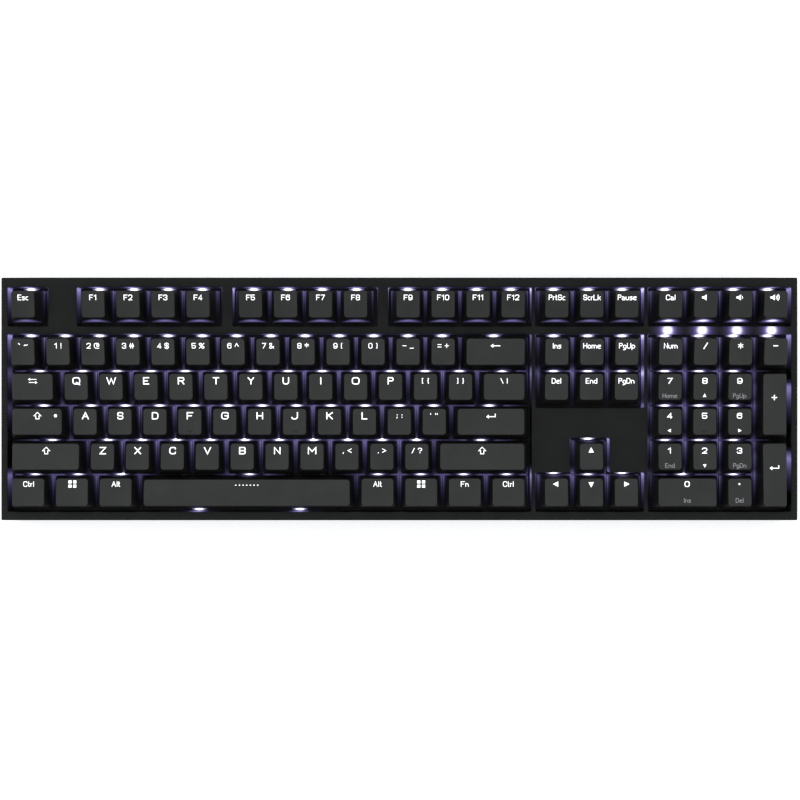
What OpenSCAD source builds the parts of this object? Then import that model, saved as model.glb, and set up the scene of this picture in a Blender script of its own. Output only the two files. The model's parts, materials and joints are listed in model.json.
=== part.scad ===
// Full-size mechanical keyboard: 108 keys on a steel plate, in a two-part case.
// The origin is on the table under the middle of the case. The rear edge is on +Y.
// The deck frame is the tilted frame that the keys share: its z is 0 on the plate's top face.

/* [Case] */
// Tilt of the deck, rear edge up
tilt = 4; // [2:0.5:6]
// Height of the bezel's front edge above the table
front_h = 22.5; // [22.5:0.5:27]
// Bezel width at the two ends
side_bezel = 3.6; // [3.6:0.1:8]
// Bezel width along the front
front_bezel = 4.75; // [4.75:0.25:9]
// Bezel width along the rear
rear_bezel = 5.35; // [5.35:0.25:9]
// Radius of the case's corners in plan
corner_r = 0.8; // [0.6:0.1:4]
// Thickness of the case's walls and floor
wall = 2.2; // [1.8:0.1:2.4]
// Gap between the outermost keys and the window's edge
window_gap = 1.25; // [1:0.05:1.5]

/* [Keys] */
// Distance from one key to the next
pitch = 19.05; // [19.05:0.05:19.4]
// Distance from the number row to the function row
function_pitch = 25.8; // [25.4:0.1:28]
// Gap between two caps at their skirts
key_gap = 0.85; // [0.6:0.05:1.2]
// How far a key goes down
travel = 4; // [3:0.1:4]
// Wall thickness of a cap
cap_wall = 1.4; // [1.1:0.1:1.5]
// Depth of the dish in a cap's top
dish = 1; // [0.5:0.1:1.3]

/* [Feet and pads] */
// How far the rubber pads stand out under the case
pad_proud = 1.2; // [0.8:0.1:1.5]
// Distance of each folding foot from the middle
foot_x = 170; // [150:1:175]
// Width of a folding foot
foot_w = 30; // [24:1:34]
// Length of a folding foot from its pin to its tip
foot_len = 15; // [13:0.5:17]

/* [Hidden] */
$fn = 48;

// Colours
case_black = "#212322";
cap_grey = "#3c3e3c";
slider_white = "#dcdcdc";
housing_clear = "#c9cdd6";
steel = "#b9bcc0";
rubber_black = "#151515";

// Stack of parts in the deck frame: heights from the plate's top face
bezel_top = 9;
split_z = -2;
split_gap = 0.3;
plate_t = 1.5;
slab_gap = 0.15;
lip_t = 0.8;
lip_h = 2;
plate_inset = wall + 1.4;
board_inset = wall + 1.6;
board_top = -5;
board_t = 1.6;
pin_end = -8.2;
flange_h = 1;
skirt_z = flange_h + travel + 1.3;
switch_top = 6.6;
block_top = 6.8;
stem_top = 10.3;

// Fits
part_gap = 0.1;
running_gap = 0.08;
contact_gap = 0.05;
slot_gap = 0.15;
// How far a shape bites into its neighbour to join it, and how far a cut runs past a face
bite = 0.1;
over = 1;

// Plan of the deck. Columns count from the left end of the keys, rows from the front.
columns = 22.5;
case_w = columns * pitch + 2 * (window_gap + side_bezel);
case_d = 5 * pitch + function_pitch + 2 * window_gap + front_bezel + rear_bezel;
function_row = 5;
front_row_y = -case_d / 2 + front_bezel + window_gap + pitch / 2;
rib_y = row_y(4) + function_pitch / 2;
function col_x(c) = (c - columns / 2) * pitch;
function row_y(r) = front_row_y + min(r, 4) * pitch + max(r - 4, 0) * function_pitch;

// Heights that are past everything else, below and above
deep = -40;
high = 60;

// Place of the deck above the table, and its height at a world height
lift = front_h + case_d / 2 * sin(tilt) - bezel_top * cos(tilt);
function deck_z(y, world_z) = (world_z - lift - y * sin(tilt)) / cos(tilt);
front_edge_y = -case_d / 2 * cos(tilt) - bezel_top * sin(tilt);
rear_edge_y = case_d / 2 * cos(tilt) - deck_z(case_d / 2, pad_proud) * sin(tilt);
shift_y = -(front_edge_y + rear_edge_y) / 2;
module on_deck() translate([0, shift_y, lift]) rotate([tilt, 0, 0]) children();

// Keys: [column of the middle, row of the middle, width, depth], sizes in key pitches
function key(start, row, w = 1, d = 1) = [start + w / 2, row + (d - 1) / 2, w, d];
function run(start, row, count) = [for (i = [0:count - 1]) key(start + i, row)];
ESC = [key(0, function_row)];
F1_F4 = run(2, function_row, 4);
F5_F8 = run(6.5, function_row, 4);
F9_F12 = run(11, function_row, 4);
NUMBERS = run(0, 4, 13);
BACKSPACE = [key(13, 4, 2)];
TAB = [key(0, 3, 1.5)];
Q_ROW = run(1.5, 3, 12);
BACKSLASH = [key(13.5, 3, 1.5)];
CAPS_LOCK = [key(0, 2, 1.75)];
A_ROW = run(1.75, 2, 11);
ENTER = [key(12.75, 2, 2.25)];
LEFT_SHIFT = [key(0, 1, 2.25)];
Z_ROW = run(2.25, 1, 10);
RIGHT_SHIFT = [key(12.25, 1, 2.75)];
function front_key(i) = [key(i * 1.25, 0, 1.25)];
SPACE = [key(3.75, 0, 6.25)];
PRINT = run(15.25, function_row, 3);
EDITING = concat(run(15.25, 4, 3), run(15.25, 3, 3));
ARROW_UP = [key(16.25, 1)];
ARROWS = run(15.25, 0, 3);
MEDIA = run(18.5, function_row, 4);
NUMPAD_TOP = run(18.5, 4, 4);
NUMPAD_PLUS = [key(21.5, 2, 1, 2)];
NUMPAD_ENTER = [key(21.5, 0, 1, 2)];
NUMPAD_DIGITS = [for (row = [3, 2, 1]) each run(18.5, row, 3)];
NUMPAD_0 = [key(18.5, 0, 2)];
NUMPAD_POINT = [key(20.5, 0)];
STABILISED = concat(BACKSPACE, ENTER, LEFT_SHIFT, RIGHT_SHIFT, SPACE, NUMPAD_PLUS, NUMPAD_ENTER, NUMPAD_0);
ALL_KEYS = concat(
  STABILISED, ESC, F1_F4, F5_F8, F9_F12, NUMBERS, TAB, Q_ROW, BACKSLASH, CAPS_LOCK, A_ROW, Z_ROW,
  [for (i = [0, 1, 2, 8, 9, 10, 11]) each front_key(i)], PRINT, EDITING, ARROW_UP, ARROWS, MEDIA,
  NUMPAD_TOP, NUMPAD_DIGITS, NUMPAD_POINT
);

// Windows in the bezel: [first column, first row, columns, rows, extra width on the right]
esc_extra = 0.6;
group_extra = 1;
WINDOWS = [
  [0, function_row, 1, 1, esc_extra], [2, function_row, 4, 1, group_extra],
  [6.5, function_row, 4, 1, group_extra], [11, function_row, 4, 1, 0],
  [15.25, function_row, 3, 1, 0], [18.5, function_row, 4, 1, 0],
  [0, 0, 15, 5, 0], [15.25, 3, 3, 2, 0], [15.25, 0, 3, 1, 0], [16.25, 0, 1, 2, 0], [18.5, 0, 4, 5, 0]
];

// Cap heights by row, from the skirt to the middle of the top, and the slope of the top
cap_w_inset = 2.75;
cap_rear_inset = 1.2;
space_rear_inset = 1.8;
crown = 1;
function cap_front_inset(row) = row >= 1 ? 2.6 : 1.9;
function cap_height(row) = row >= 4 ? 11.2 : row >= 3 ? 9.6 : row >= 2 ? 9.1 : 9.3;
function cap_slope(row) = row >= 4 ? 8 : row >= 3 ? 5 : row >= 2 ? 1 : -3;
space_h = 8.6;

// Stem cross and the post that grips it
cross_l = 4;
cross_t = 1.2;
cross_gap = 0.05;
post_r = 2.75;

// Switch housing
hole_w = 14;
base_w = 13.85;
flange_w = 15.6;
base_floor = 0.95;
cover_w = 14.2;
cover_top_w = 11;
cover_wall = 1.1;
lens_w = 5;
slider_w = 7;
slider_d = 5.6;
slider_clear = 0.6;
slider_bottom = board_top + base_floor + travel + 0.25;
wing_w = 9;
wing_top = 5.3;
spring_r = 2.2;
spring_t = 0.4;
spring_top = 3.4;
guide_r = 1.9;
led_y = 5.08;
led_size = [3, 2.2, 1.3];
led_clear = 0.6;
light_led = [2, 1.4, 0.6];
pin_size = [0.8, 0.35];
pin_hole_r = 0.7;
well = [10.4, 9];
well_y = -1.2;
PINS = [[3.81, -2.54], [-2.54, -5.08]];
leaf = [3, 0.2];
leaf_h = 4.4;

// Stabilisers under the wide keys
stab_x = 11.94;
space_stab_x = 50;
stab_w = 6.6;
stab_d = 12.2;
stab_bottom = -4.7;
stab_top = 2.5;
stab_slider = [4.2, 5.4];
stab_flange = [7.8, 13, 0.9];
wire_r = 0.75;
wire_y = -8.75;
wire_z = 1.2;
function stab_offset(k) = max(k[2], k[3]) > 3 ? space_stab_x : stab_x;
function is_tall(k) = k[3] > k[2];
function has_stab(k) = max(k[2], k[3]) >= 2;

// Fasteners
screw_inset = 4.5;
screw_head_r = 2.1;
screw_head_h = 1.4;
screw_r = 1;
boss_r = 1.95;
boss_clear = 0.5;
boss_gap = 0.4;
screw_hole_end = -4;
screw_fit = 0.05;
screw_clear = 0.25;
boss_pad_r = 3.1;
boss_pad_top = 5.3;
sink_depth = 2.4;
CASE_SCREWS = concat(
  [for (x = [-200, -70, 70, 200]) [x, case_d / 2 - screw_inset]],
  [for (x = [-200, -70, 70, 200]) [x, -case_d / 2 + screw_inset]],
  [for (x = [-100, 100]) [x, rib_y]]
);
standoff_r = 2.2;
plate_screw_r = 0.9;
plate_head_r = 1.55;
plate_head_h = 1.1;
plate_screw_len = 7;
cross_slot = [2, 0.5];
PLATE_SCREWS = [
  for (p = [[2, 2], [8, 2], [12, 2], [16.75, 3], [20, 2], [5, 0], [9, 0], [4, 3], [10, 3], [20, 3]])
  [col_x(p[0]), row_y(p[1]) + pitch / 2]
];

// Folding feet
foot_t = 3.6;
foot_z = pad_proud + 0.3 + foot_t / 2;
foot_y = 56;
foot_pin_r = 1.5;
foot_pin_len = 2;
foot_tip_len = 3.4;
foot_rim = 3;
foot_hollow = 1.4;
pocket_gap = 0.5;
pocket_rear = 2.8;
pocket_top = foot_z + foot_t / 2 + 0.9;
pocket_wall = 2.6;
pocket_t = 1.5;

// Rubber pads: [x, y, length]
pad_d = 10;
pad_sunk = 0.5;
pad_r = 2.5;
PADS = [[-160, -54, 50], [160, -54, 50], [-115, 52, 30], [115, 52, 30]];

// Socket for the cord, and the lock lights
usb_x = 0;
usb_shell = [8.94, 3.26, 7.3];
usb_shell_t = 0.3;
usb_clear = 0.4;
usb_z = board_top - board_t - part_gap - usb_shell[1] / 2;
usb_tongue = [6.7, 0.7, 5.4];
light_r = 1.5;
light_fit = 0.1;
light_clear = 0.4;
LOCK_LIGHTS = [for (c = [19:22]) [col_x(c), rib_y]];
chip_size = [9, 9, 1.2];
chip_x = 30;

// ---- Shared shapes ----

module rounded_rect(w, d, r) {
  square([w - 2 * r, d], center = true);
  square([w, d - 2 * r], center = true);
  for (x = [-1, 1], y = [-1, 1])
    translate([x * (w / 2 - r), y * (d / 2 - r)]) circle(r);
}

// A box with its middle at the origin in plan, from one height to another
module block(w, d, z0, z1) translate([-w / 2, -d / 2, z0]) cube([w, d, z1 - z0]);

// Two blocks across each other
module cross(l, t, z0, z1) {
  block(l, t, z0, z1);
  block(t, l, z0, z1);
}

module rod(r, z0, z1) translate([0, 0, z0]) cylinder(r = r, h = z1 - z0);

// An upright slab of the case's plan, inset all round, in the deck frame
module case_prism(inset, z0, z1)
  translate([0, 0, z0]) linear_extrude(z1 - z0)
    rounded_rect(case_w - 2 * inset, case_d - 2 * inset, max(corner_r - inset, 0.4));

// A wall round the case's plan, from a height up into the top case's slab
module case_ring(inset, t, z0) difference() {
  case_prism(inset, z0, slab_gap + bite);
  case_prism(inset + t, z0 - over, slab_gap + over);
}

// Everything between two world heights
module between(z0, z1) translate([-case_w, -case_d, z0]) cube([2 * case_w, 2 * case_d, z1 - z0]);

module window(w)
  translate([col_x(w[0]) - window_gap, row_y(w[1]) - pitch / 2 - window_gap])
    square([
      w[2] * pitch + 2 * window_gap + w[4],
      row_y(w[1] + w[3] - 1) - row_y(w[1]) + pitch + 2 * window_gap
    ]);

module at_key(k) translate([col_x(k[0]), key_y(k), 0]) children();
function key_y(k) = (row_y(floor(k[1])) + row_y(ceil(k[1]))) / 2;
module each_switch() for (k = ALL_KEYS) at_key(k) children();

// The two stabiliser places of a wide or tall key
module at_stabs(k)
  if (has_stab(k))
    rotate(is_tall(k) ? 90 : 0)
      for (side = [-1, 1]) translate([side * stab_offset(k), 0, 0]) children();

// A block whose four walls lean in: its front view and its side view, crossed
module tapered(w, d, top_w, z0, rear, front) {
  z1 = max(rear[1], front[1]);
  intersection() {
    rotate([90, 0, 0]) linear_extrude(d + 2, center = true)
      polygon([[-w / 2, z0], [w / 2, z0], [top_w / 2, z1], [-top_w / 2, z1]]);
    rotate([90, 0, 90]) linear_extrude(w + 2, center = true)
      polygon([[-d / 2, z0], [d / 2, z0], rear, front]);
  }
}

// ---- Case ----

module top_case() color(case_black) on_deck() {
  difference() {
    union() {
      case_prism(0, slab_gap, bezel_top);
      case_ring(0, wall, split_z);
      case_ring(wall + part_gap, lip_t, split_z - lip_h);
      for (p = CASE_SCREWS)
        translate(p) rod(boss_r, deck_z(p[1], boss_pad_top) + boss_gap, slab_gap + bite);
    }
    translate([0, 0, slab_gap - over / 2]) linear_extrude(bezel_top + over)
      for (w = WINDOWS) window(w);
    for (p = CASE_SCREWS)
      translate(p) rod(screw_r + screw_fit, deck_z(p[1], boss_pad_top) - over, screw_hole_end);
    for (p = LOCK_LIGHTS)
      translate(p) rod(light_r + light_fit, -over, bezel_top + over);
  }
}

// The raised floor over a folding foot
module foot_pocket(x) {
  outer_w = foot_w + 2 * (pocket_gap + pocket_wall);
  translate([x - outer_w / 2, foot_y - foot_len - pocket_gap - pocket_t, pad_proud])
    cube([outer_w, foot_len + pocket_gap + pocket_rear + 2 * pocket_t, pocket_top + pocket_t - pad_proud]);
}

// What the foot and its pins need inside that floor
module foot_space(x) {
  inner_w = foot_w + 2 * pocket_gap;
  translate([x, 0, 0]) {
    translate([-inner_w / 2, foot_y - foot_len - pocket_gap, pad_proud - over])
      cube([inner_w, foot_len + pocket_gap + pocket_rear, pocket_top - pad_proud + over]);
    translate([0, foot_y, foot_z]) rotate([0, 90, 0])
      cylinder(r = foot_pin_r + running_gap, h = foot_w + 2 * (foot_pin_len + slot_gap), center = true);
  }
}

module bottom_case() color(case_black) difference() {
  union() {
    intersection() {
      on_deck() case_prism(0, deep, split_z - split_gap);
      between(pad_proud, high);
      difference() {
        between(0, high);
        intersection() {
          on_deck() case_prism(wall, deep, bezel_top);
          between(pad_proud + wall, high);
        }
      }
    }
    intersection() {
      union() {
        on_deck() for (p = PLATE_SCREWS)
          translate(p) rod(standoff_r, deep, -plate_t - part_gap);
        for (x = [-foot_x, foot_x]) foot_pocket(x);
      }
      between(pad_proud, high);
    }
    intersection() {
      on_deck() for (p = CASE_SCREWS) translate(p) rod(boss_pad_r, deep, board_top);
      between(pad_proud, boss_pad_top);
    }
  }
  for (x = [-foot_x, foot_x]) foot_space(x);
  on_deck() {
    for (p = CASE_SCREWS) translate(p) {
      rod(screw_head_r + screw_clear, deep, deck_z(p[1], pad_proud) + sink_depth);
      rod(screw_r + screw_clear, deep, deck_z(p[1], boss_pad_top) + 2 * over);
    }
    for (p = PLATE_SCREWS)
      translate(p) rod(plate_screw_r + screw_fit, -plate_screw_len, 0);
    translate([usb_x, case_d / 2 - wall - over, usb_z]) rotate([-90, 0, 0]) linear_extrude(wall + 2 * over)
      rounded_rect(usb_shell[0] + usb_clear, usb_shell[1] + usb_clear, usb_shell[1] / 2);
  }
  for (p = PADS) pad(p, slot_gap, -over);
}

// One pad from height z0 to the end of its recess, grown all round
module pad(p, grow, z0)
  translate([p[0], p[1], z0]) linear_extrude(pad_proud + pad_sunk - z0)
    rounded_rect(p[2] + 2 * grow, pad_d + 2 * grow, pad_r + grow);

module rubber_pads() color(rubber_black) for (p = PADS) pad(p, 0, 0);

// ---- Plate, board and what they carry ----

module plate_outline(inset) rounded_rect(case_w - 2 * inset, case_d - 2 * inset, 1);

module switch_plate() color(steel) on_deck()
  translate([0, 0, -plate_t]) linear_extrude(plate_t) difference() {
    plate_outline(plate_inset);
    each_switch() square(hole_w, center = true);
    for (k = STABILISED) at_key(k) at_stabs(k)
      square([stab_w + 2 * slot_gap, stab_d + 2 * slot_gap], center = true);
    for (p = LOCK_LIGHTS) translate(p) circle(light_r + light_clear);
    for (p = CASE_SCREWS) translate(p) circle(boss_r + boss_clear);
    for (p = PLATE_SCREWS) translate(p) circle(plate_screw_r + screw_clear);
  }

module circuit_board() color("#14352a") on_deck()
  translate([0, 0, board_top - board_t]) linear_extrude(board_t) difference() {
    plate_outline(board_inset);
    each_switch() {
      circle(guide_r + slot_gap);
      for (p = PINS) translate(p) circle(pin_hole_r);
    }
    for (p = CASE_SCREWS) translate(p) circle(boss_r + boss_clear);
    for (p = PLATE_SCREWS) translate(p) circle(standoff_r + boss_clear);
  }

module switch_bases() color("#1b1b1d") on_deck() each_switch() difference() {
  union() {
    block(base_w, base_w, board_top + contact_gap, part_gap + bite);
    block(flange_w, flange_w, part_gap, flange_h);
    rod(guide_r, pin_end, board_top + 2 * bite);
  }
  translate([0, well_y, 0]) block(well[0], well[1], board_top + base_floor, flange_h + over);
  translate([0, led_y, 0])
    block(led_size[0] + led_clear, led_size[1] + led_clear, board_top - over, flange_h + over);
  for (p = PINS) translate(p)
    block(pin_size[0] + 2 * slot_gap, pin_size[1] + 2 * slot_gap, board_top - over, board_top + 2 * over);
}

module switch_covers() color(housing_clear) on_deck() each_switch() difference() {
  z0 = flange_h + contact_gap;
  top_y = cover_top_w / 2;
  inner_w = cover_w - 2 * cover_wall;
  inner_z = switch_top - cover_wall;
  tapered(cover_w, cover_w, cover_top_w, z0, [top_y, switch_top], [-top_y, switch_top]);
  tapered(
    inner_w, inner_w, cover_top_w - cover_wall, z0 - 0.01,
    [top_y - cover_wall, inner_z], [-top_y + cover_wall, inner_z]
  );
  block(slider_w + slider_clear, slider_d + slider_clear, z0, switch_top + over);
  translate([0, led_y, 0]) block(lens_w, led_size[1], z0, switch_top + over);
}

module switch_springs() color(steel) on_deck() each_switch() difference() {
  rod(spring_r, board_top + base_floor + contact_gap, spring_top);
  rod(spring_r - spring_t, board_top, spring_top + over);
}

module switch_contacts() color("goldenrod") on_deck() each_switch() {
  for (p = PINS) translate(p) block(pin_size[0], pin_size[1], pin_end, board_top + base_floor);
  translate(PINS[1])
    block(leaf[0], leaf[1], board_top + base_floor + bite, board_top + base_floor + leaf_h);
}

module backlight_leds() color("white") on_deck() {
  z0 = board_top + contact_gap;
  each_switch() translate([0, led_y, 0]) block(led_size[0], led_size[1], z0, z0 + led_size[2]);
  for (p = LOCK_LIGHTS) translate(p) block(light_led[0], light_led[1], z0, z0 + light_led[2]);
}

module lock_lights() color("#eceaff") on_deck()
  for (p = LOCK_LIGHTS) translate(p) rod(light_r, board_top + light_led[2] + slot_gap, bezel_top);

module stabiliser_bases() color("#1b1b1d") on_deck()
  for (k = STABILISED) at_key(k) at_stabs(k) difference() {
    union() {
      block(stab_w, stab_d, stab_bottom, stab_top);
      block(stab_flange[0], stab_flange[1], part_gap, stab_flange[2]);
    }
    block(
      stab_slider[0] + slider_clear, stab_slider[1] + slider_clear,
      stab_bottom + slider_clear, stab_top + over
    );
  }

module stabiliser_wires() color(steel) on_deck()
  for (k = STABILISED) at_key(k) rotate(is_tall(k) ? 90 : 0) {
    end_x = stab_offset(k);
    translate([0, wire_y, wire_z]) rotate([0, 90, 0])
      cylinder(r = wire_r, h = 2 * end_x, center = true);
    for (side = [-1, 1])
      translate([side * (end_x - wire_r), wire_y, wire_z]) rotate([-90, 0, 0])
        cylinder(r = wire_r, h = -wire_y - stab_d / 2 - 0.6);
  }

module usb_socket() color(steel) on_deck()
  translate([usb_x, case_d / 2 - 2 * part_gap, usb_z]) rotate([90, 0, 0]) {
    inner_w = usb_shell[0] - 2 * usb_shell_t;
    inner_h = usb_shell[1] - 2 * usb_shell_t;
    difference() {
      linear_extrude(usb_shell[2]) rounded_rect(usb_shell[0], usb_shell[1], usb_shell[1] / 2 - 0.01);
      translate([0, 0, -over]) linear_extrude(usb_shell[2])
        rounded_rect(inner_w, inner_h, inner_h / 2 - 0.01);
    }
    translate([0, 0, usb_shell[2] - over / 2 - usb_tongue[2]])
      linear_extrude(usb_tongue[2]) square([usb_tongue[0], usb_tongue[1]], center = true);
  }

module controller_chip() color("#17181a") on_deck()
  translate([chip_x, rib_y, board_top - board_t - contact_gap - chip_size[2]])
    block(chip_size[0], chip_size[1], 0, chip_size[2]);

module case_screws() color("#2a2a2c") on_deck()
  for (p = CASE_SCREWS) translate(p) {
    head_top = deck_z(p[1], pad_proud) + sink_depth - contact_gap;
    head_z = head_top - screw_head_h;
    difference() {
      union() {
        rod(screw_head_r, head_z, head_top);
        rod(screw_r, head_top - bite, screw_hole_end - over / 2);
      }
      cross(cross_slot[0], cross_slot[1], head_z - over, head_z + screw_head_h / 2);
    }
  }

module plate_screws() color(steel) on_deck()
  for (p = PLATE_SCREWS) translate(p) difference() {
    union() {
      rod(plate_head_r, contact_gap, plate_head_h);
      rod(plate_screw_r, plate_head_h / 2 - plate_screw_len, plate_head_h / 2);
    }
    cross(cross_slot[0], cross_slot[1], plate_head_h / 2, plate_head_h + over);
  }

// ---- Folding feet ----

module foot_body(x) translate([x, foot_y, foot_z]) {
  rotate([0, 90, 0]) cylinder(r = foot_t / 2, h = foot_w, center = true);
  rotate([0, 90, 0]) cylinder(r = foot_pin_r, h = foot_w + 2 * foot_pin_len, center = true);
  difference() {
    translate([-foot_w / 2, -foot_len + foot_tip_len, -foot_t / 2])
      cube([foot_w, foot_len - foot_tip_len, foot_t]);
    translate([-foot_w / 2 + foot_rim, -foot_len + foot_tip_len + foot_rim, foot_t / 2 - foot_hollow])
      cube([foot_w - 2 * foot_rim, foot_len - foot_tip_len - 2 * foot_rim, foot_t]);
  }
}

module foot_tip(x) translate([x, foot_y, foot_z])
  intersection() {
    translate([-foot_w / 2 + 0.4, -foot_len, -foot_t / 2])
      cube([foot_w - 0.8, foot_tip_len, foot_t]);
    translate([0, -foot_len + foot_t / 2, 0]) rotate([0, 90, 0])
      union() {
        cylinder(r = foot_t / 2, h = foot_w, center = true);
        translate([-foot_t / 2, 0, -foot_w / 2]) cube([foot_t, foot_tip_len, foot_w]);
      }
  }

module foot_left() color(case_black) foot_body(-foot_x);
module foot_right() color(case_black) foot_body(foot_x);
module foot_tip_left() color(rubber_black) foot_tip(-foot_x);
module foot_tip_right() color(rubber_black) foot_tip(foot_x);

// ---- Keys: a cap, and the slider it is pushed onto ----

// The dish along a cap's top: a cylinder that meets both side edges
module cap_dish(top_w, depth, y, h, slope) {
  r = (top_w * top_w / 4 + dish * dish) / (2 * dish);
  translate([0, y, h]) rotate([slope, 0, 0]) translate([0, 0, r - dish])
    rotate([90, 0, 0]) cylinder(r = r, h = 2 * depth, center = true, $fn = 48 * ceil(r / 10));
}

// The places of a cap's posts: the middle, and over each stabiliser
module at_posts(k) {
  children();
  at_stabs(k) children();
}

// One cap, its skirt at height 0
module cap(k) {
  w = k[2] * pitch - key_gap;
  d = k[3] * pitch - key_gap;
  is_space = k[2] > 3;
  h = is_space ? space_h : cap_height(k[1]);
  slope = is_space ? -2 : cap_slope(k[1]);
  top_w = w - 2 * cap_w_inset;
  front_y = -d / 2 + cap_front_inset(k[1]);
  rear_y = d / 2 - (is_space ? space_rear_inset : cap_rear_inset);
  mid_y = (front_y + rear_y) / 2;
  rise = (rear_y - front_y) / 2 * tan(slope);
  thick = cap_wall + (is_space ? crown : dish);
  post_z = block_top + part_gap - skirt_z;
  cross_z = stem_top + part_gap - skirt_z;
  difference() {
    intersection() {
      tapered(w, d, top_w, 0, [rear_y, h + rise], [front_y, h - rise]);
      if (is_space) space_crown(w, (rear_y - front_y) / 2, mid_y, h);
    }
    difference() {
      tapered(
        w - 2 * cap_wall, d - 2 * cap_wall, top_w - 2 * cap_wall, -0.01,
        [rear_y - cap_wall, h + rise - thick], [front_y + cap_wall, h - rise - thick]
      );
      at_posts(k) rod(post_r, post_z, h + 2);
    }
    at_posts(k) cross(cross_l + 2 * cross_gap, cross_t + 2 * cross_gap, post_z - 1, cross_z);
    if (!is_space) cap_dish(top_w, d, mid_y, h, slope);
  }
}

// The round top of the space bar: a cylinder along it
module space_crown(w, half_d, y, h) {
  r = (half_d * half_d + crown * crown) / (2 * crown);
  translate([0, y, h - r]) rotate([0, 90, 0]) cylinder(r = r, h = w + 2, center = true, $fn = 96);
}

module slider() {
  difference() {
    union() {
      block(slider_w, slider_d, slider_bottom, block_top);
      block(wing_w, slider_d - 1, slider_bottom, wing_top);
    }
    rod(spring_r + 0.2, slider_bottom - 1, spring_top + 0.1);
  }
  cross(cross_l, cross_t, block_top - 0.1, stem_top);
}

module stab_slider() {
  block(stab_slider[0], stab_slider[1], slider_bottom + 0.1, block_top);
  cross(cross_l, cross_t, block_top - 0.1, stem_top);
}

module keys(list) on_deck() for (k = list) at_key(k) {
  color(cap_grey) translate([0, 0, skirt_z]) cap(k);
  color(slider_white) slider();
  color(slider_white) at_stabs(k) stab_slider();
}

module esc() keys(ESC);
module f1_to_f4() keys(F1_F4);
module f5_to_f8() keys(F5_F8);
module f9_to_f12() keys(F9_F12);
module number_keys() keys(NUMBERS);
module backspace() keys(BACKSPACE);
module tab() keys(TAB);
module q_row_keys() keys(Q_ROW);
module backslash() keys(BACKSLASH);
module caps_lock() keys(CAPS_LOCK);
module a_row_keys() keys(A_ROW);
module enter() keys(ENTER);
module left_shift() keys(LEFT_SHIFT);
module z_row_keys() keys(Z_ROW);
module right_shift() keys(RIGHT_SHIFT);
module left_ctrl() keys(front_key(0));
module left_win() keys(front_key(1));
module left_alt() keys(front_key(2));
module space() keys(SPACE);
module right_alt() keys(front_key(8));
module right_win() keys(front_key(9));
module fn_key() keys(front_key(10));
module right_ctrl() keys(front_key(11));
module print_keys() keys(PRINT);
module editing_keys() keys(EDITING);
module arrow_up() keys(ARROW_UP);
module arrow_left() keys([ARROWS[0]]);
module arrow_down() keys([ARROWS[1]]);
module arrow_right() keys([ARROWS[2]]);
module calculator_key() keys([MEDIA[0]]);
module mute_key() keys([MEDIA[1]]);
module volume_down() keys([MEDIA[2]]);
module volume_up() keys([MEDIA[3]]);
module numpad_top_keys() keys(NUMPAD_TOP);
module numpad_plus() keys(NUMPAD_PLUS);
module numpad_enter() keys(NUMPAD_ENTER);
module numpad_digits() keys(NUMPAD_DIGITS);
module numpad_0() keys(NUMPAD_0);
module numpad_point() keys(NUMPAD_POINT);

top_case();
bottom_case();
switch_plate();
circuit_board();
switch_bases();
switch_covers();
switch_springs();
switch_contacts();
backlight_leds();
lock_lights();
stabiliser_bases();
stabiliser_wires();
foot_left();
foot_right();
foot_tip_left();
foot_tip_right();
rubber_pads();
usb_socket();
controller_chip();
case_screws();
plate_screws();
esc();
f1_to_f4();
f5_to_f8();
f9_to_f12();
number_keys();
backspace();
tab();
q_row_keys();
backslash();
caps_lock();
a_row_keys();
enter();
left_shift();
z_row_keys();
right_shift();
left_ctrl();
left_win();
left_alt();
space();
right_alt();
right_win();
fn_key();
right_ctrl();
print_keys();
editing_keys();
arrow_up();
arrow_left();
arrow_down();
arrow_right();
calculator_key();
mute_key();
volume_down();
volume_up();
numpad_top_keys();
numpad_plus();
numpad_enter();
numpad_digits();
numpad_0();
numpad_point();
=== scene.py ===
import json
from math import atan2, cos, exp, hypot, pi, radians, sin, sqrt, tan

import bmesh
import bpy
from mathutils import Matrix, Vector


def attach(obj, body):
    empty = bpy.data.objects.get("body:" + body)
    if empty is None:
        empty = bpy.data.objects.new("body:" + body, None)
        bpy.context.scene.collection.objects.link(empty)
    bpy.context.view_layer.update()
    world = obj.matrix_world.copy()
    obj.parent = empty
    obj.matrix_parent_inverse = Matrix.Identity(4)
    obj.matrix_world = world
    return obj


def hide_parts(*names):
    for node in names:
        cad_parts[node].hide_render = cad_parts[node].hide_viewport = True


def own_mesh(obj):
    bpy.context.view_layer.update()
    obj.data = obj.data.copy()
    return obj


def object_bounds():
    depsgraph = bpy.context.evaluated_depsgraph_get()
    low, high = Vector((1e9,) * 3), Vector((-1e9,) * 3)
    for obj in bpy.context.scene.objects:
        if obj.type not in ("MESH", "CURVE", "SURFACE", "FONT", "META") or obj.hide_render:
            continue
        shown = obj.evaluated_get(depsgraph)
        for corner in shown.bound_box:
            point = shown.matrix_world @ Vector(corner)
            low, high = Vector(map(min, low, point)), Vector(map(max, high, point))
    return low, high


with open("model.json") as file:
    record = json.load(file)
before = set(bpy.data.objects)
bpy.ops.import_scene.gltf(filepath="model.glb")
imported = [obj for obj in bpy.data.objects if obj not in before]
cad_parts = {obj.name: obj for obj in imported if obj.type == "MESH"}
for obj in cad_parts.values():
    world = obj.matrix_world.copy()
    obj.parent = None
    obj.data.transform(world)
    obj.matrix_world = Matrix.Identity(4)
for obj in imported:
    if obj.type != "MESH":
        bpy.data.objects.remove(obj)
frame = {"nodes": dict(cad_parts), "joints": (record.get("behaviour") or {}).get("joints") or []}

# Frame. The deck frame is tilted with the keys: x to the right, y to the rear, z along the keys' travel,
# in millimetres, with z = 0 on the plate's top face. Every mesh is made in it and carried to the row frame.
CAD_LOW, CAD_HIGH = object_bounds()
PRESS = Vector(next(j for j in frame["joints"] if j["name"] == "space_press")["axis"])
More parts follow.
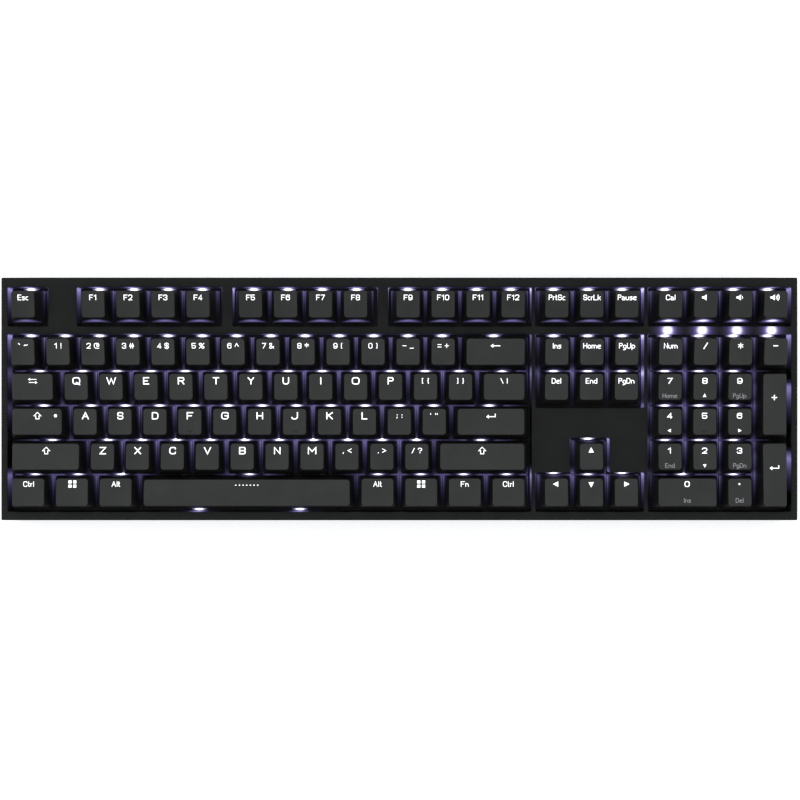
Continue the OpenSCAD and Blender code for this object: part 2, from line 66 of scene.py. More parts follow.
TILT = Matrix.Rotation(atan2(PRESS.y, -PRESS.z), 4, "X")


def tilted_box(node):
    """Lowest and highest corner of a CAD node along the deck's own directions, in millimetres."""
    points = [TILT.inverted() @ v.co * 1000 for v in frame["nodes"][node].data.vertices]
    low = Vector(min(p[i] for p in points) for i in range(3))
    high = Vector(max(p[i] for p in points) for i in range(3))
    return low, high


CASE_LOW, CASE_HIGH = tilted_box("top_case")
PLATE_Z = tilted_box("switch_plate")[1].z
MIDDLE_Y = (CASE_LOW.y + CASE_HIGH.y) / 2
DECK = TILT @ Matrix.Scale(0.001, 4) @ Matrix.Translation((0, MIDDLE_Y, PLATE_Z))


def deck_box(node):
    low, high = tilted_box(node)
    move = Vector((0, MIDDLE_Y, PLATE_Z))
    return low - move, high - move


CASE_W = CASE_HIGH.x - CASE_LOW.x
CASE_D = CASE_HIGH.y - CASE_LOW.y
BEZEL_TOP = CASE_HIGH.z - PLATE_Z
SLAB_BOTTOM = 0.15
SPLIT_Z = -2.0
PLATE_FRAME_TOP = -0.01
CASE_CORNER = 0.8
WALL = 2.2

# Keys: a column is one pitch wide and starts at the left key's cell, a row is one pitch deep
PITCH = 19.05
KEY_GAP = 0.85
WINDOW_GAP = 1.25
ESC_LOW, ESC_HIGH = deck_box("esc")
SPACE_LOW, SPACE_HIGH = deck_box("space")
LEFT_X = ESC_LOW.x - KEY_GAP / 2
FRONT_ROW_Y = (SPACE_LOW.y + SPACE_HIGH.y) / 2
FUNCTION_ROW = 5
FUNCTION_ROW_Y = (ESC_LOW.y + ESC_HIGH.y) / 2
SKIRT_Z = 6.3


def col_x(column):
    return LEFT_X + column * PITCH


def row_y(row):
    return FUNCTION_ROW_Y if row >= FUNCTION_ROW else FRONT_ROW_Y + row * PITCH


RIB_Y = (row_y(4) + row_y(5)) / 2
LOCK_PLACES = [(col_x(19 + i), RIB_Y) for i in range(4)]


def placed(name, data):
    """Makes an object and links it into the scene."""
    thing = bpy.data.objects.new(name, data)
    bpy.context.scene.collection.objects.link(thing)
    return thing


# Camera: square to the deck, over its middle
CAMERA_DISTANCE = 700.0
VIEW_WIDTH = 440.3
VIEW_CENTRE = (0.35, -0.6)


def make_camera():
    data = bpy.data.cameras.new("camera")
    data.sensor_width = 36.0
    data.lens = data.sensor_width * CAMERA_DISTANCE / VIEW_WIDTH
    data.clip_start, data.clip_end = 0.05, 20.0
    camera = placed("camera", data)
    place = DECK @ Vector((*VIEW_CENTRE, BEZEL_TOP + CAMERA_DISTANCE))
    camera.matrix_world = Matrix.Translation(place) @ TILT
    bpy.context.scene.camera = camera


make_camera()


# Light and floor
def area_light(name, place, size, power):
    data = bpy.data.lights.new(name, "AREA")
    data.shape, data.size, data.size_y = "RECTANGLE", *size
    data.energy = power
    light = placed(name, data)
    light.location = place
    light.rotation_euler = (-Vector(place)).to_track_quat("-Z", "Y").to_euler()


def set_inputs(node, **values):
    """Sets a node's inputs by name, with _ for a space."""
    for name, value in values.items():
        node.inputs[name.replace("_", " ")].default_value = value
    return node


def make_stage():
    world = bpy.data.worlds.new("studio")
    bpy.context.scene.world = world
    world.use_nodes = True
    set_inputs(world.node_tree.nodes["Background"], Color=(0.95, 0.97, 1.0, 1), Strength=0.85)
    area_light("rear_light", (-0.5, 1.5, 1.35), (1.8, 1.2), 13)
    area_light("left_light", (-1.7, -0.5, 1.3), (1.0, 1.6), 10)
    area_light("right_light", (1.7, -0.6, 1.3), (1.0, 1.6), 9)

    mesh = bpy.data.meshes.new("floor")
    half = 6.0
    corners = [(x * half, y * half, 0) for x, y in ((-1, -1), (1, -1), (1, 1), (-1, 1))]
    mesh.from_pydata(corners, [], [(0, 1, 2, 3)])
    floor = placed("floor", mesh)
    floor.location.z = CAD_LOW.z
    material = bpy.data.materials.new("floor")
    material.use_nodes = True
    set_inputs(material.node_tree.nodes["Principled BSDF"], Base_Color=(0.93, 0.93, 0.93, 1),
               Emission_Color=(1, 1, 1, 1), Emission_Strength=0.3, Roughness=0.9)
    mesh.materials.append(material)
    bpy.context.scene.view_settings.view_transform = "Standard"


make_stage()


# Materials
class Nodes:
    """A material's node tree, with short calls for the nodes that the materials here share."""

    def __init__(self, name):
        self.material = bpy.data.materials.new(name)
        self.material.use_nodes = True
        self.tree = self.material.node_tree
        self.shader = self.tree.nodes["Principled BSDF"]
        self.place = self.node("TexCoord").outputs["Object"]

    def link(self, source, target):
        self.tree.links.new(source, target)

    def node(self, kind, **values):
        return set_inputs(self.tree.nodes.new("ShaderNode" + kind), **values)

    def noise(self, size_mm, detail, distortion=0.0):
        node = self.node("TexNoise", Scale=1000.0 / size_mm, Detail=detail, Distortion=distortion)
        self.link(self.place, node.inputs["Vector"])
        return node.outputs["Fac"]

    def cells(self, size_mm):
        node = self.node("TexVoronoi", Scale=1000.0 / size_mm)
        self.link(self.place, node.inputs["Vector"])
        return node.outputs["Distance"]

    def blend(self, fac, stops):
        """A colour ramp from fac: stops are (position, colour)."""
        node = self.node("ValToRGB")
        ramp = node.color_ramp
        while len(ramp.elements) < len(stops):
            ramp.elements.new(0.5)
        for element, (position, colour) in zip(ramp.elements, stops):
            element.position, element.color = position, (*colour, 1)
        self.link(fac, node.inputs["Fac"])
        return node.outputs["Color"]

    def scale(self, value, low, high):
        node = self.node("MapRange", To_Min=low, To_Max=high)
        self.link(value, node.inputs["Value"])
        return node.outputs["Result"]

    def math(self, operation, a, b):
        node = self.node("Math")
        node.operation = operation
        for socket, value in zip(node.inputs, (a, b)):
            if isinstance(value, (int, float)):
                socket.default_value = value
            else:
                self.link(value, socket)
        return node.outputs["Value"]

    def vector_math(self, operation, a):
        """A vector node with only its first input linked."""
        node = self.node("VectorMath")
        node.operation = operation
        self.link(a, node.inputs[0])
        return node

    def bump(self, height, depth_mm):
        node = self.node("Bump", Distance=depth_mm / 1000)
        self.link(height, node.inputs["Height"])
        self.link(node.outputs["Normal"], self.shader.inputs["Normal"])


def shaded(value, tint):
    return tuple(value * t for t in tint)


# Painted light from the backlight goes in this attribute's colour, and painted shade in its alpha
LEAK_NAME = "leak"
HALO_REACH = 10.0
# Painted light round a lock light by the share of that reach: distance in millimetres, colour
HALO = [(0.0, (1.0, 1.0, 1.0)), (2.2, (1.0, 0.98, 1.0)), (2.9, (0.42, 0.38, 0.72)), (3.8, (0.12, 0.1, 0.27)),
        (5.4, (0.036, 0.028, 0.085)), (7.5, (0.01, 0.008, 0.024)), (10.0, (0.0, 0.0, 0.0))]


def lock_halo(n):
    """The painted light that each lock light throws on the bezel round it."""
    nearest = None
    for x, y in LOCK_PLACES:
        node = n.vector_math("DISTANCE", n.place)
        node.inputs[1].default_value = DECK @ Vector((x, y, BEZEL_TOP))
        distance = node.outputs["Value"]
        nearest = distance if nearest is None else n.math("MINIMUM", nearest, distance)
    share = n.math("MULTIPLY", nearest, 1000.0 / HALO_REACH)
    return n.blend(share, [(reach / HALO_REACH, colour) for reach, colour in HALO])


def plastic(name, value, tint, roughness, grain_mm, grain_depth, specular, spread=0.18,
                    leak=False, halo=False):
    """Matte moulded plastic: a fine spark-eroded grain, slow tone changes, and roughness that follows both.

    With leak, the mesh's attribute carries painted light, the light that leaks onto it, in its colour, and
    painted shade as its tone in alpha.
    """
    n = Nodes(name)
    slow, grain = n.noise(14, 3), n.noise(grain_mm, 2)
    mixed = n.math("ADD", n.math("MULTIPLY", slow, 0.6), n.math("MULTIPLY", grain, 0.4))
    colour = n.blend(mixed, [(0.3, shaded(value * (1 - spread), tint)),
                             (0.7, shaded(value * (1 + spread), tint))])
    if leak:
        carried = n.node("Attribute")
        carried.attribute_name = LEAK_NAME
        # The alpha scales the base colour down: painted shade
        shade = n.vector_math("SCALE", colour)
        n.link(carried.outputs["Alpha"], shade.inputs["Scale"])
        colour = shade.outputs["Vector"]
        light = carried.outputs["Color"]
        # Painted halos round the lock lights are added to the painted light
        if halo:
            both = n.vector_math("ADD", light)
            n.link(lock_halo(n), both.inputs[1])
            light = both.outputs["Vector"]
        n.link(light, n.shader.inputs["Emission Color"])
        set_inputs(n.shader, Emission_Strength=1.0)
    n.link(colour, n.shader.inputs["Base Color"])
    n.link(n.scale(mixed, roughness - 0.07, roughness + 0.07), n.shader.inputs["Roughness"])
    n.bump(n.math("ADD", grain, n.math("MULTIPLY", n.cells(grain_mm * 1.6), 0.5)), grain_depth)
    set_inputs(n.shader, Specular_IOR_Level=specular)
    return n.material


def metal(name, colour, roughness):
    n = Nodes(name)
    fine, slow = n.noise(0.35, 4, 0.6), n.noise(9, 2)
    n.link(n.blend(slow, [(0.3, shaded(0.86, colour)), (0.7, colour)]), n.shader.inputs["Base Color"])
    n.link(n.scale(fine, roughness - 0.08, roughness + 0.12), n.shader.inputs["Roughness"])
    n.bump(fine, 0.01)
    set_inputs(n.shader, Metallic=1.0)
    return n.material


def glowing(name, colour, strength, core=(0.9, 0.9, 0.92)):
    """Plastic lit from behind: the light varies a little, as a moulded diffuser's does."""
    n = Nodes(name)
    cloud = n.noise(2.5, 2)
    n.link(n.blend(cloud, [(0.3, shaded(0.94, core)), (0.7, core)]), n.shader.inputs["Base Color"])
    n.link(n.blend(cloud, [(0.25, shaded(0.9, colour)), (0.75, colour)]), n.shader.inputs["Emission Color"])
    n.bump(n.noise(0.2, 2), 0.004)
    set_inputs(n.shader, Emission_Strength=strength, Roughness=0.45)
    return n.material


# Value, tint, roughness, grain size and depth in millimetres, specular level
CASE_LOOK = (0.007, (0.97, 1.03, 1.0), 0.55, 0.35, 0.012, 0.14)
CASE_PLASTIC = plastic("case_plastic", *CASE_LOOK)
# The bezel, the caps and the plate show painted backlight in their emission, and the caps painted shade as
# well
BEZEL_PLASTIC = plastic("bezel_plastic", *CASE_LOOK, leak=True, halo=True)
CAP_PLASTIC = plastic("cap_plastic", 0.0262, (0.98, 1.02, 0.98), 0.6, 0.28, 0.012, 0.16, 0.16, leak=True)
HOUSING_BLACK = plastic("housing_black", 0.02, (1, 1, 1.05), 0.4, 0.3, 0.006, 0.4)
HOUSING_CLEAR = plastic("housing_clear", 0.5, (0.96, 0.97, 1.05), 0.3, 0.4, 0.004, 0.5)
PLATE_COAT = plastic("plate_coat", 0.01, (1, 1, 1.05), 0.5, 0.4, 0.01, 0.2, leak=True)
BOARD_GREEN = plastic("board_mask", 0.04, (0.5, 1.4, 1.0), 0.35, 0.8, 0.006, 0.5)
RUBBER = plastic("rubber", 0.014, (1, 1, 1), 0.85, 0.6, 0.03, 0.2)
CHIP_BLACK = plastic("chip_black", 0.012, (1, 1, 1.04), 0.5, 0.25, 0.006, 0.4)
SLIDER_PLASTIC = plastic("slider_plastic", 0.6, (1, 0.98, 0.95), 0.4, 0.5, 0.004, 0.4)
STEEL = metal("steel", (0.62, 0.62, 0.64), 0.3)
BRASS = metal("brass", (0.78, 0.58, 0.27), 0.3)
SCREW_BLACK = metal("screw_black", (0.06, 0.06, 0.065), 0.4)
LEGEND_WHITE = glowing("legend_white", (0.97, 0.97, 1.0), 0.92)
LEGEND_DIM = glowing("legend_dim", (0.9, 0.9, 1.0), 0.13, (0.16, 0.16, 0.17))
# The lenses glow with painted light: they stand in for the backlight seen in the gaps behind the caps
LENS_PAINTED_GLOW = plastic("lens_painted_glow", 0.08, (1, 1, 1.1), 0.3, 0.4, 0.004, 0.4, 0.1, leak=True)
LOCK_WHITE = glowing("lock_white", (0.9, 0.86, 1.0), 5.0)


# Mesh building
def add_piece(name, mesh_data, body, materials, smooth=35.0, leak=None):
    """Makes one piece from a bmesh in the deck frame. Its leak gives each point's painted light and its
    painted shade as tone.
    """
    mesh = bpy.data.meshes.new(name)
    bmesh.ops.recalc_face_normals(mesh_data, faces=mesh_data.faces)
    mesh_data.normal_update()
    colours = [c for vert in mesh_data.verts for c in leak(vert.co, vert.normal)] if leak else None
    mesh_data.to_mesh(mesh)
    mesh_data.free()
    if colours:
        mesh.color_attributes.new(LEAK_NAME, "FLOAT_COLOR", "POINT").data.foreach_set("color", colours)
    mesh.transform(DECK)
    for material in materials:
        mesh.materials.append(material)
    mesh.shade_smooth()
    mesh.set_sharp_from_angle(angle=radians(smooth))
    piece = placed(name, mesh)
    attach(piece, body)
    return piece


def ring(half_w, y0, y1, radius, along_x=5, along_y=5, corner=4):
    """Points of a rounded rectangle, anticlockwise from the front right corner."""
    points = []
    corners = [(1, y0 + radius, -90), (1, y1 - radius, 0), (-1, y1 - radius, 90), (-1, y0 + radius, 180)]
    for side, y, start in corners:
        for i in range(corner + 1):
            angle = radians(start + 90 * i / corner)
            points.append((side * (half_w - radius) + radius * cos(angle), y + radius * sin(angle)))
    full = []
    for k in range(4):
        arc = points[k * (corner + 1):(k + 1) * (corner + 1)]
        after = points[(k + 1) * (corner + 1) % len(points)]
        steps = along_y if k % 2 == 0 else along_x
        full += arc
        for i in range(1, steps):
            t = i / steps
            full.append((arc[-1][0] + (after[0] - arc[-1][0]) * t, arc[-1][1] + (after[1] - arc[-1][1]) * t))
    return full


def loft(bm, rings, material=0):
    """Joins closed rings of points with quads, and closes both ends with a fan."""
    loops = [[bm.verts.new(p) for p in points] for points in rings]
    count = len(loops[0])
    for a, b in zip(loops, loops[1:]):
        for i in range(count):
            j = (i + 1) % count
            bm.faces.new((a[i], a[j], b[j], b[i])).material_index = material
    for loop, points in ((loops[0], rings[0]), (loops[-1], rings[-1])):
        middle = bm.verts.new(sum((Vector(p) for p in points), Vector()) / count)
        for i in range(count):
            bm.faces.new((loop[i], loop[(i + 1) % count], middle)).material_index = material


def merge(bm, other):
    """Moves everything in one bmesh into another."""
    mesh = bpy.data.meshes.new("part")
    other.to_mesh(mesh)
    other.free()
    bm.from_mesh(mesh)
    bpy.data.meshes.remove(mesh)


def ellipse(x, y, half_w, half_d, z, sides=24):
    return [(x + half_w * cos(a), y + half_d * sin(a), z)
            for a in (2 * pi * i / sides for i in range(sides))]


def level_ring(x, y, half_w, half_d, radius, z):
    """A rounded rectangle round a place, at one height."""
    return [(x + px, y + py, z) for px, py in ring(half_w, -half_d, half_d, radius, 1, 1, 3)]


def box(bm, x, y, w, d, z0, z1, radius, material=0):
    """An upright block with rounded corners and slightly rounded edges."""
    edge = min(radius * 0.5, (z1 - z0) * 0.3)
    loft(bm, [level_ring(x, y, w / 2 - inset, d / 2 - inset, max(radius - inset, 0.02), z)
              for z, inset in ((z0, edge), (z0 + edge, 0), (z1 - edge, 0), (z1, edge))], material)


# Sliders and springs
SPRING_LOW, SPRING_HIGH = (corner.z for corner in deck_box("switch_springs"))
SPRING_R, WIRE_R, SPRING_TURNS, POINTS_A_TURN = 1.95, 0.2, 7, 9
SLIDER_LOW, SLIDER_HIGH = 0.25, 6.8
SLIDER_HALF_W, SLIDER_HALF_D, SLIDER_R = 3.5, 2.8, 0.4
STABILISER_SLIDER = (4.2, 5.4)
BORE = SPRING_R + WIRE_R + 0.25
POST_R, POST_LOW = 2.75, 6.9


def slider(bm, x, y):
    """A switch's slider, hollow below for its spring."""
    edge = 0.1
    rings = [level_ring(x, y, BORE, BORE, BORE - edge, z) for z in (SPRING_HIGH + 0.05, SLIDER_LOW)]
    low, high = SLIDER_LOW, SLIDER_HIGH
    for z, inset in ((low, edge), (low + 0.15, 0), (high - 0.15, 0), (high, edge)):
        rings.append(level_ring(x, y, SLIDER_HALF_W - inset, SLIDER_HALF_D - inset, SLIDER_R - inset, z))
    loft(bm, rings, 1)


def coil(bm, x, y):
    """A switch's return spring: a round wire wound from the base up into the slider."""
    steps, sides = SPRING_TURNS * POINTS_A_TURN, 5
    low, high = SPRING_LOW + WIRE_R, SPRING_HIGH - WIRE_R
    rings = []
    for i in range(steps + 1):
        turn = 2 * pi * i / POINTS_A_TURN
        out = Vector((cos(turn), sin(turn), 0))
        middle = Vector((x, y, low + (high - low) * i / steps)) + out * SPRING_R
        rings.append([middle + (out * cos(a) + Vector((0, 0, sin(a)))) * WIRE_R
                      for a in (2 * pi * k / sides for k in range(sides))])
    loft(bm, rings)


# Key caps
CAP_W_INSET, CAP_REAR_INSET, SPACE_REAR_INSET = 2.75, 1.2, 1.8
CAP_FRONT_INSET, FRONT_ROW_INSET = 2.6, 1.9
# Lowest row that the shape serves, height over the skirt, and the top's rise to the rear in degrees
ROW_SHAPES = ((4, 11.2, 8), (3, 9.6, 5), (2, 9.1, 1), (0, 9.3, -3))
STABILISER_REACH, SPACE_STABILISER_REACH = 11.94, 50.0
DISH, CROWN, SPACE_H = 1.0, 1.0, 8.6
FILLET, SKIRT_EDGE = 0.55, 0.12
SKIRT_R, TOP_R = 0.9, 1.7
CAP_WALL = 1.4
CAP_STEPS_X, CAP_STEPS_Y = 9, 5
BAR_W, BAR_D, BAR_PLACE = 3.2, 0.5, 2.1


class Cap:
    """One key's place and the shape of its top, in the deck frame."""

    def __init__(self, start, row, width=1.0, depth=1.0):
        self.x = col_x(start + width / 2)
        self.y = (row_y(row) + row_y(row + depth - 1)) / 2
        self.w = width * PITCH - KEY_GAP
        self.d = depth * PITCH - KEY_GAP
        self.row, self.width, self.depth = row, width, depth
        middle_row = row + (depth - 1) / 2
        self.is_space = width > 3
        self.h, slope = next(shape[1:] for shape in ROW_SHAPES if middle_row >= shape[0])
        if self.is_space:
            self.h, slope = SPACE_H, -2
        self.tan = tan(radians(slope))
        self.front_inset = CAP_FRONT_INSET if middle_row >= 1 else FRONT_ROW_INSET
        self.rear_inset = SPACE_REAR_INSET if self.is_space else CAP_REAR_INSET
        self.front = -self.d / 2 + self.front_inset
        self.rear = self.d / 2 - self.rear_inset
        self.mid = (self.front + self.rear) / 2
        self.half_top = self.w / 2 - CAP_W_INSET
        span = self.half_top if not self.is_space else (self.rear - self.front) / 2
        self.sag = DISH if not self.is_space else CROWN
        self.radius = (span * span + self.sag * self.sag) / (2 * self.sag)

    def top(self, x, y):
        """Height of the top's surface over the skirt, at a place counted from the key's middle."""
        level = self.h + (y - self.mid) * self.tan
        if self.is_space:
            across = min(abs(y - self.mid), self.radius)
            return level - self.radius + sqrt(self.radius ** 2 - across ** 2)
        across = min(abs(x), self.half_top + 0.6)
        return level - self.sag + self.radius - sqrt(self.radius ** 2 - across ** 2)

    def point(self, x, y, z):
        return (self.x + x, self.y + y, SKIRT_Z + z)

    def level(self, t, inset=0.0, drop=None):
        """One ring round the cap: t is 0 at the skirt and 1 at the top, inset is how far in it lies."""
        half = self.w / 2 - CAP_W_INSET * t - inset
        front = -self.d / 2 + self.front_inset * t + inset
        rear = self.d / 2 - self.rear_inset * t - inset
        radius = max(SKIRT_R + (TOP_R - SKIRT_R) * t - inset, 0.25)
        steps_x, steps_y = round(CAP_STEPS_X * self.width), round(CAP_STEPS_Y * self.depth)
        points = ring(half, front, rear, radius, steps_x, steps_y)
        if drop is None:
            return [self.point(x, y, 0) for x, y in points]
        return [self.point(x, y, t * (self.top(x, y) - drop)) for x, y in points]

    def shell(self, bm):
        """The whole cap as one closed shell: hollow, skirt, walls, rounded edge and dished top."""
        ceiling = self.h - self.sag - CAP_WALL
        rise = (self.rear - self.front) / 2 * self.tan
        inner_top = []
        for x, y, _ in self.level(1.0, CAP_WALL, 0):
            lean = (y - self.y - self.mid) * self.tan - abs(rise) * 0.02
            inner_top.append((x, y, SKIRT_Z + ceiling + lean))
        rings = [inner_top, self.level(0.0, CAP_WALL), self.level(0.0, SKIRT_EDGE)]
        rings.append([(x, y, z + SKIRT_EDGE) for x, y, z in self.level(0.0)])
        for t in (0.12, 0.24, 0.36, 0.48, 0.6, 0.8, 1.0):
            rings.append(self.level(t, 0.0, FILLET))
        for angle in (22, 45, 68, 90):
            a = radians(angle)
            rings.append(self.level(1.0, FILLET * (1 - cos(a)), FILLET * (1 - sin(a))))
        edge = [(x - self.x, y - self.y) for x, y, _ in rings[-1]]
        for share in (0.9, 0.78, 0.64, 0.48, 0.32, 0.16, 0.05):
            inner = [(x * share, self.mid + (y - self.mid) * share) for x, y in edge]
            rings.append([self.point(x, y, self.top(x, y)) for x, y in inner])
        loft(bm, rings)

    def homing_bar(self, bm):
        """The raised bar that a finger finds, near the front of the top."""
        y = self.front + BAR_PLACE
        top = SKIRT_Z + self.top(0, y)
        box(bm, self.x, self.y + y, BAR_W, BAR_D, top - 0.4, top + 0.3, 0.24)

    def post_places(self):
        """The middle, and the two stabilisers of a key two pitches long or more."""
        longest = max(self.width, self.depth)
        if longest < 2:
            return [(0, 0)]
        reach = SPACE_STABILISER_REACH if longest > 3 else STABILISER_REACH
        ends = [(reach, 0), (-reach, 0)] if self.width > self.depth else [(0, reach), (0, -reach)]
        return [(0, 0)] + ends

    def posts(self, bm):
        """The posts under the cap, and the sliders that they are pushed onto."""
        roof = self.h - self.sag - CAP_WALL + 0.3
        for i, (x, y) in enumerate(self.post_places()):
            high = SKIRT_Z + roof + y * self.tan
            loft(bm, [ellipse(self.x + x, self.y + y, POST_R, POST_R, z, 20) for z in (POST_LOW, high, high)])
            if i == 0:
                slider(bm, self.x, self.y)
            else:
                box(bm, self.x + x, self.y + y, *STABILISER_SLIDER, SLIDER_LOW, SLIDER_HIGH, SLIDER_R, 1)


# Nodes of the keys: the places of their keys, as (start column, row, width, depth), and their legends
def run(start, row, count):
    return [(start + i, row, 1, 1) for i in range(count)]


KEY_NODES = {
    "esc": (run(0, 5, 1), ["Esc"]), "f1_to_f4": (run(2, 5, 4), ["F1", "F2", "F3", "F4"]),
    "f5_to_f8": (run(6.5, 5, 4), ["F5", "F6", "F7", "F8"]),
    "f9_to_f12": (run(11, 5, 4), ["F9", "F10", "F11", "F12"]),
    "number_keys": (run(0, 4, 13), ["` ~", "1 !", "2 @", "3 #", "4 $", "5 %", "6 ^", "7 &", "8 *",
                                    "9 (", "0 )", "- _", "= +"]),
    "backspace": ([(13, 4, 2, 1)], ["<back>"]), "tab": ([(0, 3, 1.5, 1)], ["<tab>"]),
    "q_row_keys": (run(1.5, 3, 12), list("QWERTYUIOP") + ["[ {", "] }"]),
    "backslash": ([(13.5, 3, 1.5, 1)], ["\\ |"]), "caps_lock": ([(0, 2, 1.75, 1)], ["<caps>"]),
    "a_row_keys": (run(1.75, 2, 11), list("ASDFGHJKL") + ["; :", "' \""]),
    "enter": ([(12.75, 2, 2.25, 1)], ["<enter>"]), "left_shift": ([(0, 1, 2.25, 1)], ["<up>"]),
    "z_row_keys": (run(2.25, 1, 10), list("ZXCVBNM") + [", <", ". >", "/ ?"]),
    "right_shift": ([(12.25, 1, 2.75, 1)], ["<up>"]), "left_ctrl": ([(0, 0, 1.25, 1)], ["Ctrl"]),
    "left_win": ([(1.25, 0, 1.25, 1)], ["<menu>"]), "left_alt": ([(2.5, 0, 1.25, 1)], ["Alt"]),
    "space": ([(3.75, 0, 6.25, 1)], ["<dashes>"]), "right_alt": ([(10, 0, 1.25, 1)], ["Alt"]),
    "right_win": ([(11.25, 0, 1.25, 1)], ["<menu>"]), "fn_key": ([(12.5, 0, 1.25, 1)], ["Fn"]),
    "right_ctrl": ([(13.75, 0, 1.25, 1)], ["Ctrl"]),
    "print_keys": (run(15.25, 5, 3), ["PrtSc", "ScrLk", "Pause"]),
    "editing_keys": (run(15.25, 4, 3) + run(15.25, 3, 3), ["Ins", "Home", "PgUp", "Del", "End", "PgDn"]),
    "arrow_up": (run(16.25, 1, 1), ["<tri_up>"]), "arrow_left": (run(15.25, 0, 1), ["<tri_left>"]),
    "arrow_down": (run(16.25, 0, 1), ["<tri_down>"]), "arrow_right": (run(17.25, 0, 1), ["<tri_right>"]),
    "calculator_key": (run(18.5, 5, 1), ["Cal"]), "mute_key": (run(19.5, 5, 1), ["<mute>"]),
    "volume_down": (run(20.5, 5, 1), ["<quieter>"]), "volume_up": (run(21.5, 5, 1), ["<louder>"]),
    "numpad_top_keys": (run(18.5, 4, 4), ["Num", "/", "<star>", "<minus>"]),
    "numpad_plus": ([(21.5, 2, 1, 2)], ["<plus>"]), "numpad_enter": ([(21.5, 0, 1, 2)], ["<enter>"]),
    "numpad_digits": (run(18.5, 3, 3) + run(18.5, 2, 3) + run(18.5, 1, 3), list("789456123")),
    "numpad_0": ([(18.5, 0, 2, 1)], ["0"]), "numpad_point": (run(20.5, 0, 1), ["<dot>"]),
}

CAPS = {node: [Cap(*place) for place in places] for node, (places, _) in KEY_NODES.items()}
ALL_CAPS = [cap for caps in CAPS.values() for cap in caps]

# Backlight: each switch has its light at the rear, and the light that leaks out between the caps is painted
# on as emission, on the caps, walls and plate, and in glowing lenses in the gaps
LENS_W, LENS_D, LENS_H = 9.0, 1.1, 1.9
LED_Y = 5.08
SPACE_LENS_X, UNCOVERED_SHIFT = 28, 0.68
LEAK_COLUMN = 24.0
# The painted light's colour, and where and how fast it turns white
LEAK_COLOUR = Vector((0.36, 0.31, 0.78))
WHITE_FROM, WHITE_SHARE = 0.7, 0.9
# Painted light: powers are shares of the light's colour, lengths are in millimetres
SPOT_POWER, SPOT_W, SPOT_D = 1.3, 2.7, 1.5
SPREAD_POWER, SPREAD_W = 0.08, 6
STREAK_POWER, STREAK_FADE, STREAK_FROM, STREAK_EDGE, STREAK_REACH = 1.1, 4.4, 8, 10, 4
LEAK_REACH_X, LEAK_REACH_REAR, LEAK_REACH_FRONT = 20, 4, 19
PLATE_SIDE, PLATE_SHARE = 0.4, 0.4
LED_GLOW = (1.2, 1.1, 1.5, 1.0)
CORE_POWER, CORE_W, RIM_POWER, RIM_W = 3.2, 1.7, 1.1, 2.4
CAP_LIGHT, CAP_LIGHT_H = 0.45, 1.2
# Painted shade: the share of the caps' colour kept on the tops, on the function row's tops, which are a
# little darker, and on the sides, which are much darker
TOP_PAINTED_SHADE, FUNCTION_TOP_PAINTED_SHADE, SIDE_PAINTED_SHADE = 1.03, 0.86, 0.12
# Painted glints on the fronts of the function row: power and width, for the media keys and for the others,
# and then
# the height, bow and spread as shares of a cap's height
GLINT_MEDIA, GLINT_USUAL, GLINT_H, GLINT_BOW, GLINT_D = (2.0, 0.36), (0.55, 0.52), 0.38, 0.2, 0.12


def lens_places():
    """Where the light comes out behind each cap, and in front of the space bar's two extra lights."""
    places = []
    for cap in ALL_CAPS:
        edge = cap.y + cap.d / 2
        covered = any(abs(other.y - other.d / 2 - edge) < 3
                      and abs(other.x - cap.x) < (other.w + cap.w) / 2 - 2 for other in ALL_CAPS)
        if cap.depth == 1:
            places.append((cap.x, edge + KEY_GAP / 2 + (0.0 if covered else UNCOVERED_SHIFT)))
        if cap.is_space:
            places += [(cap.x + side * SPACE_LENS_X, cap.y - cap.d / 2 - KEY_GAP) for side in (-1, 1)]
    return places


LENSES = lens_places()
TALL_KEY_LIGHTS = [(cap.x, cap.y + 10.0) for cap in ALL_CAPS if cap.depth > 1]
CAPS_OF_FUNCTION_ROW = [cap for cap in ALL_CAPS if cap.y > RIB_Y]
LENS_COLUMNS = {}
for lens in LENSES + TALL_KEY_LIGHTS:
    LENS_COLUMNS.setdefault(int(lens[0] // LEAK_COLUMN), []).append(lens)


def lenses_near(place):
    """The lenses in a place's own column and the two beside it."""
    column = int(place.x // LEAK_COLUMN)
    return [lens for step in (-1, 0, 1) for lens in LENS_COLUMNS.get(column + step, ())]


def leaked(place, side):
    """The painted light of the lenses near a place, before any colour.

    It is painted as a spot behind each key, and as a streak that fades to the front in the gaps at its sides.
    Side is 1 on a wall that faces left or right, and 0 on one that faces the front or the rear.
    """
    total = 0.0
    for x, y in lenses_near(place):
        away, ahead = abs(x - place.x), y - place.y
        if away > LEAK_REACH_X or ahead < -LEAK_REACH_REAR or ahead > LEAK_REACH_FRONT:
            continue
        if side < 1:
            spot = exp(-(away / SPOT_W) ** 2) + SPREAD_POWER * exp(-away / SPREAD_W)
            total += (1 - side) * SPOT_POWER * spot * exp(-abs(ahead) / SPOT_D)
        if side > 0 and away > STREAK_FROM:
            streak = exp(-ahead / STREAK_FADE) if ahead > 0 else exp(ahead)
            total += side * STREAK_POWER * streak * exp(-max(away - STREAK_EDGE, 0) / STREAK_REACH)
    return total


def tinted(light, tone):
    """Painted light, violet where it is weak and turning white where it is strong, with the painted shade as
    tone.
    """
    white = max(light - WHITE_FROM, 0.0) * WHITE_SHARE
    return (*(LEAK_COLOUR * light + Vector((white, white, white))), tone)


def sideways(normal):
    """1 on a wall that faces left or right, and 0 on one that faces the front or the rear."""
    return min(abs(normal.x) / max(hypot(normal.x, normal.y), 1e-6), 1.0)


def case_leak(place, normal):
    """Painted light: the windows' walls and their rounded edges catch it, and level faces don't."""
    steep = 1 - min(abs(normal.z), 1.0)
    return tinted(leaked(place, sideways(normal)) * steep if steep > 0.02 else 0.0, 1.0)


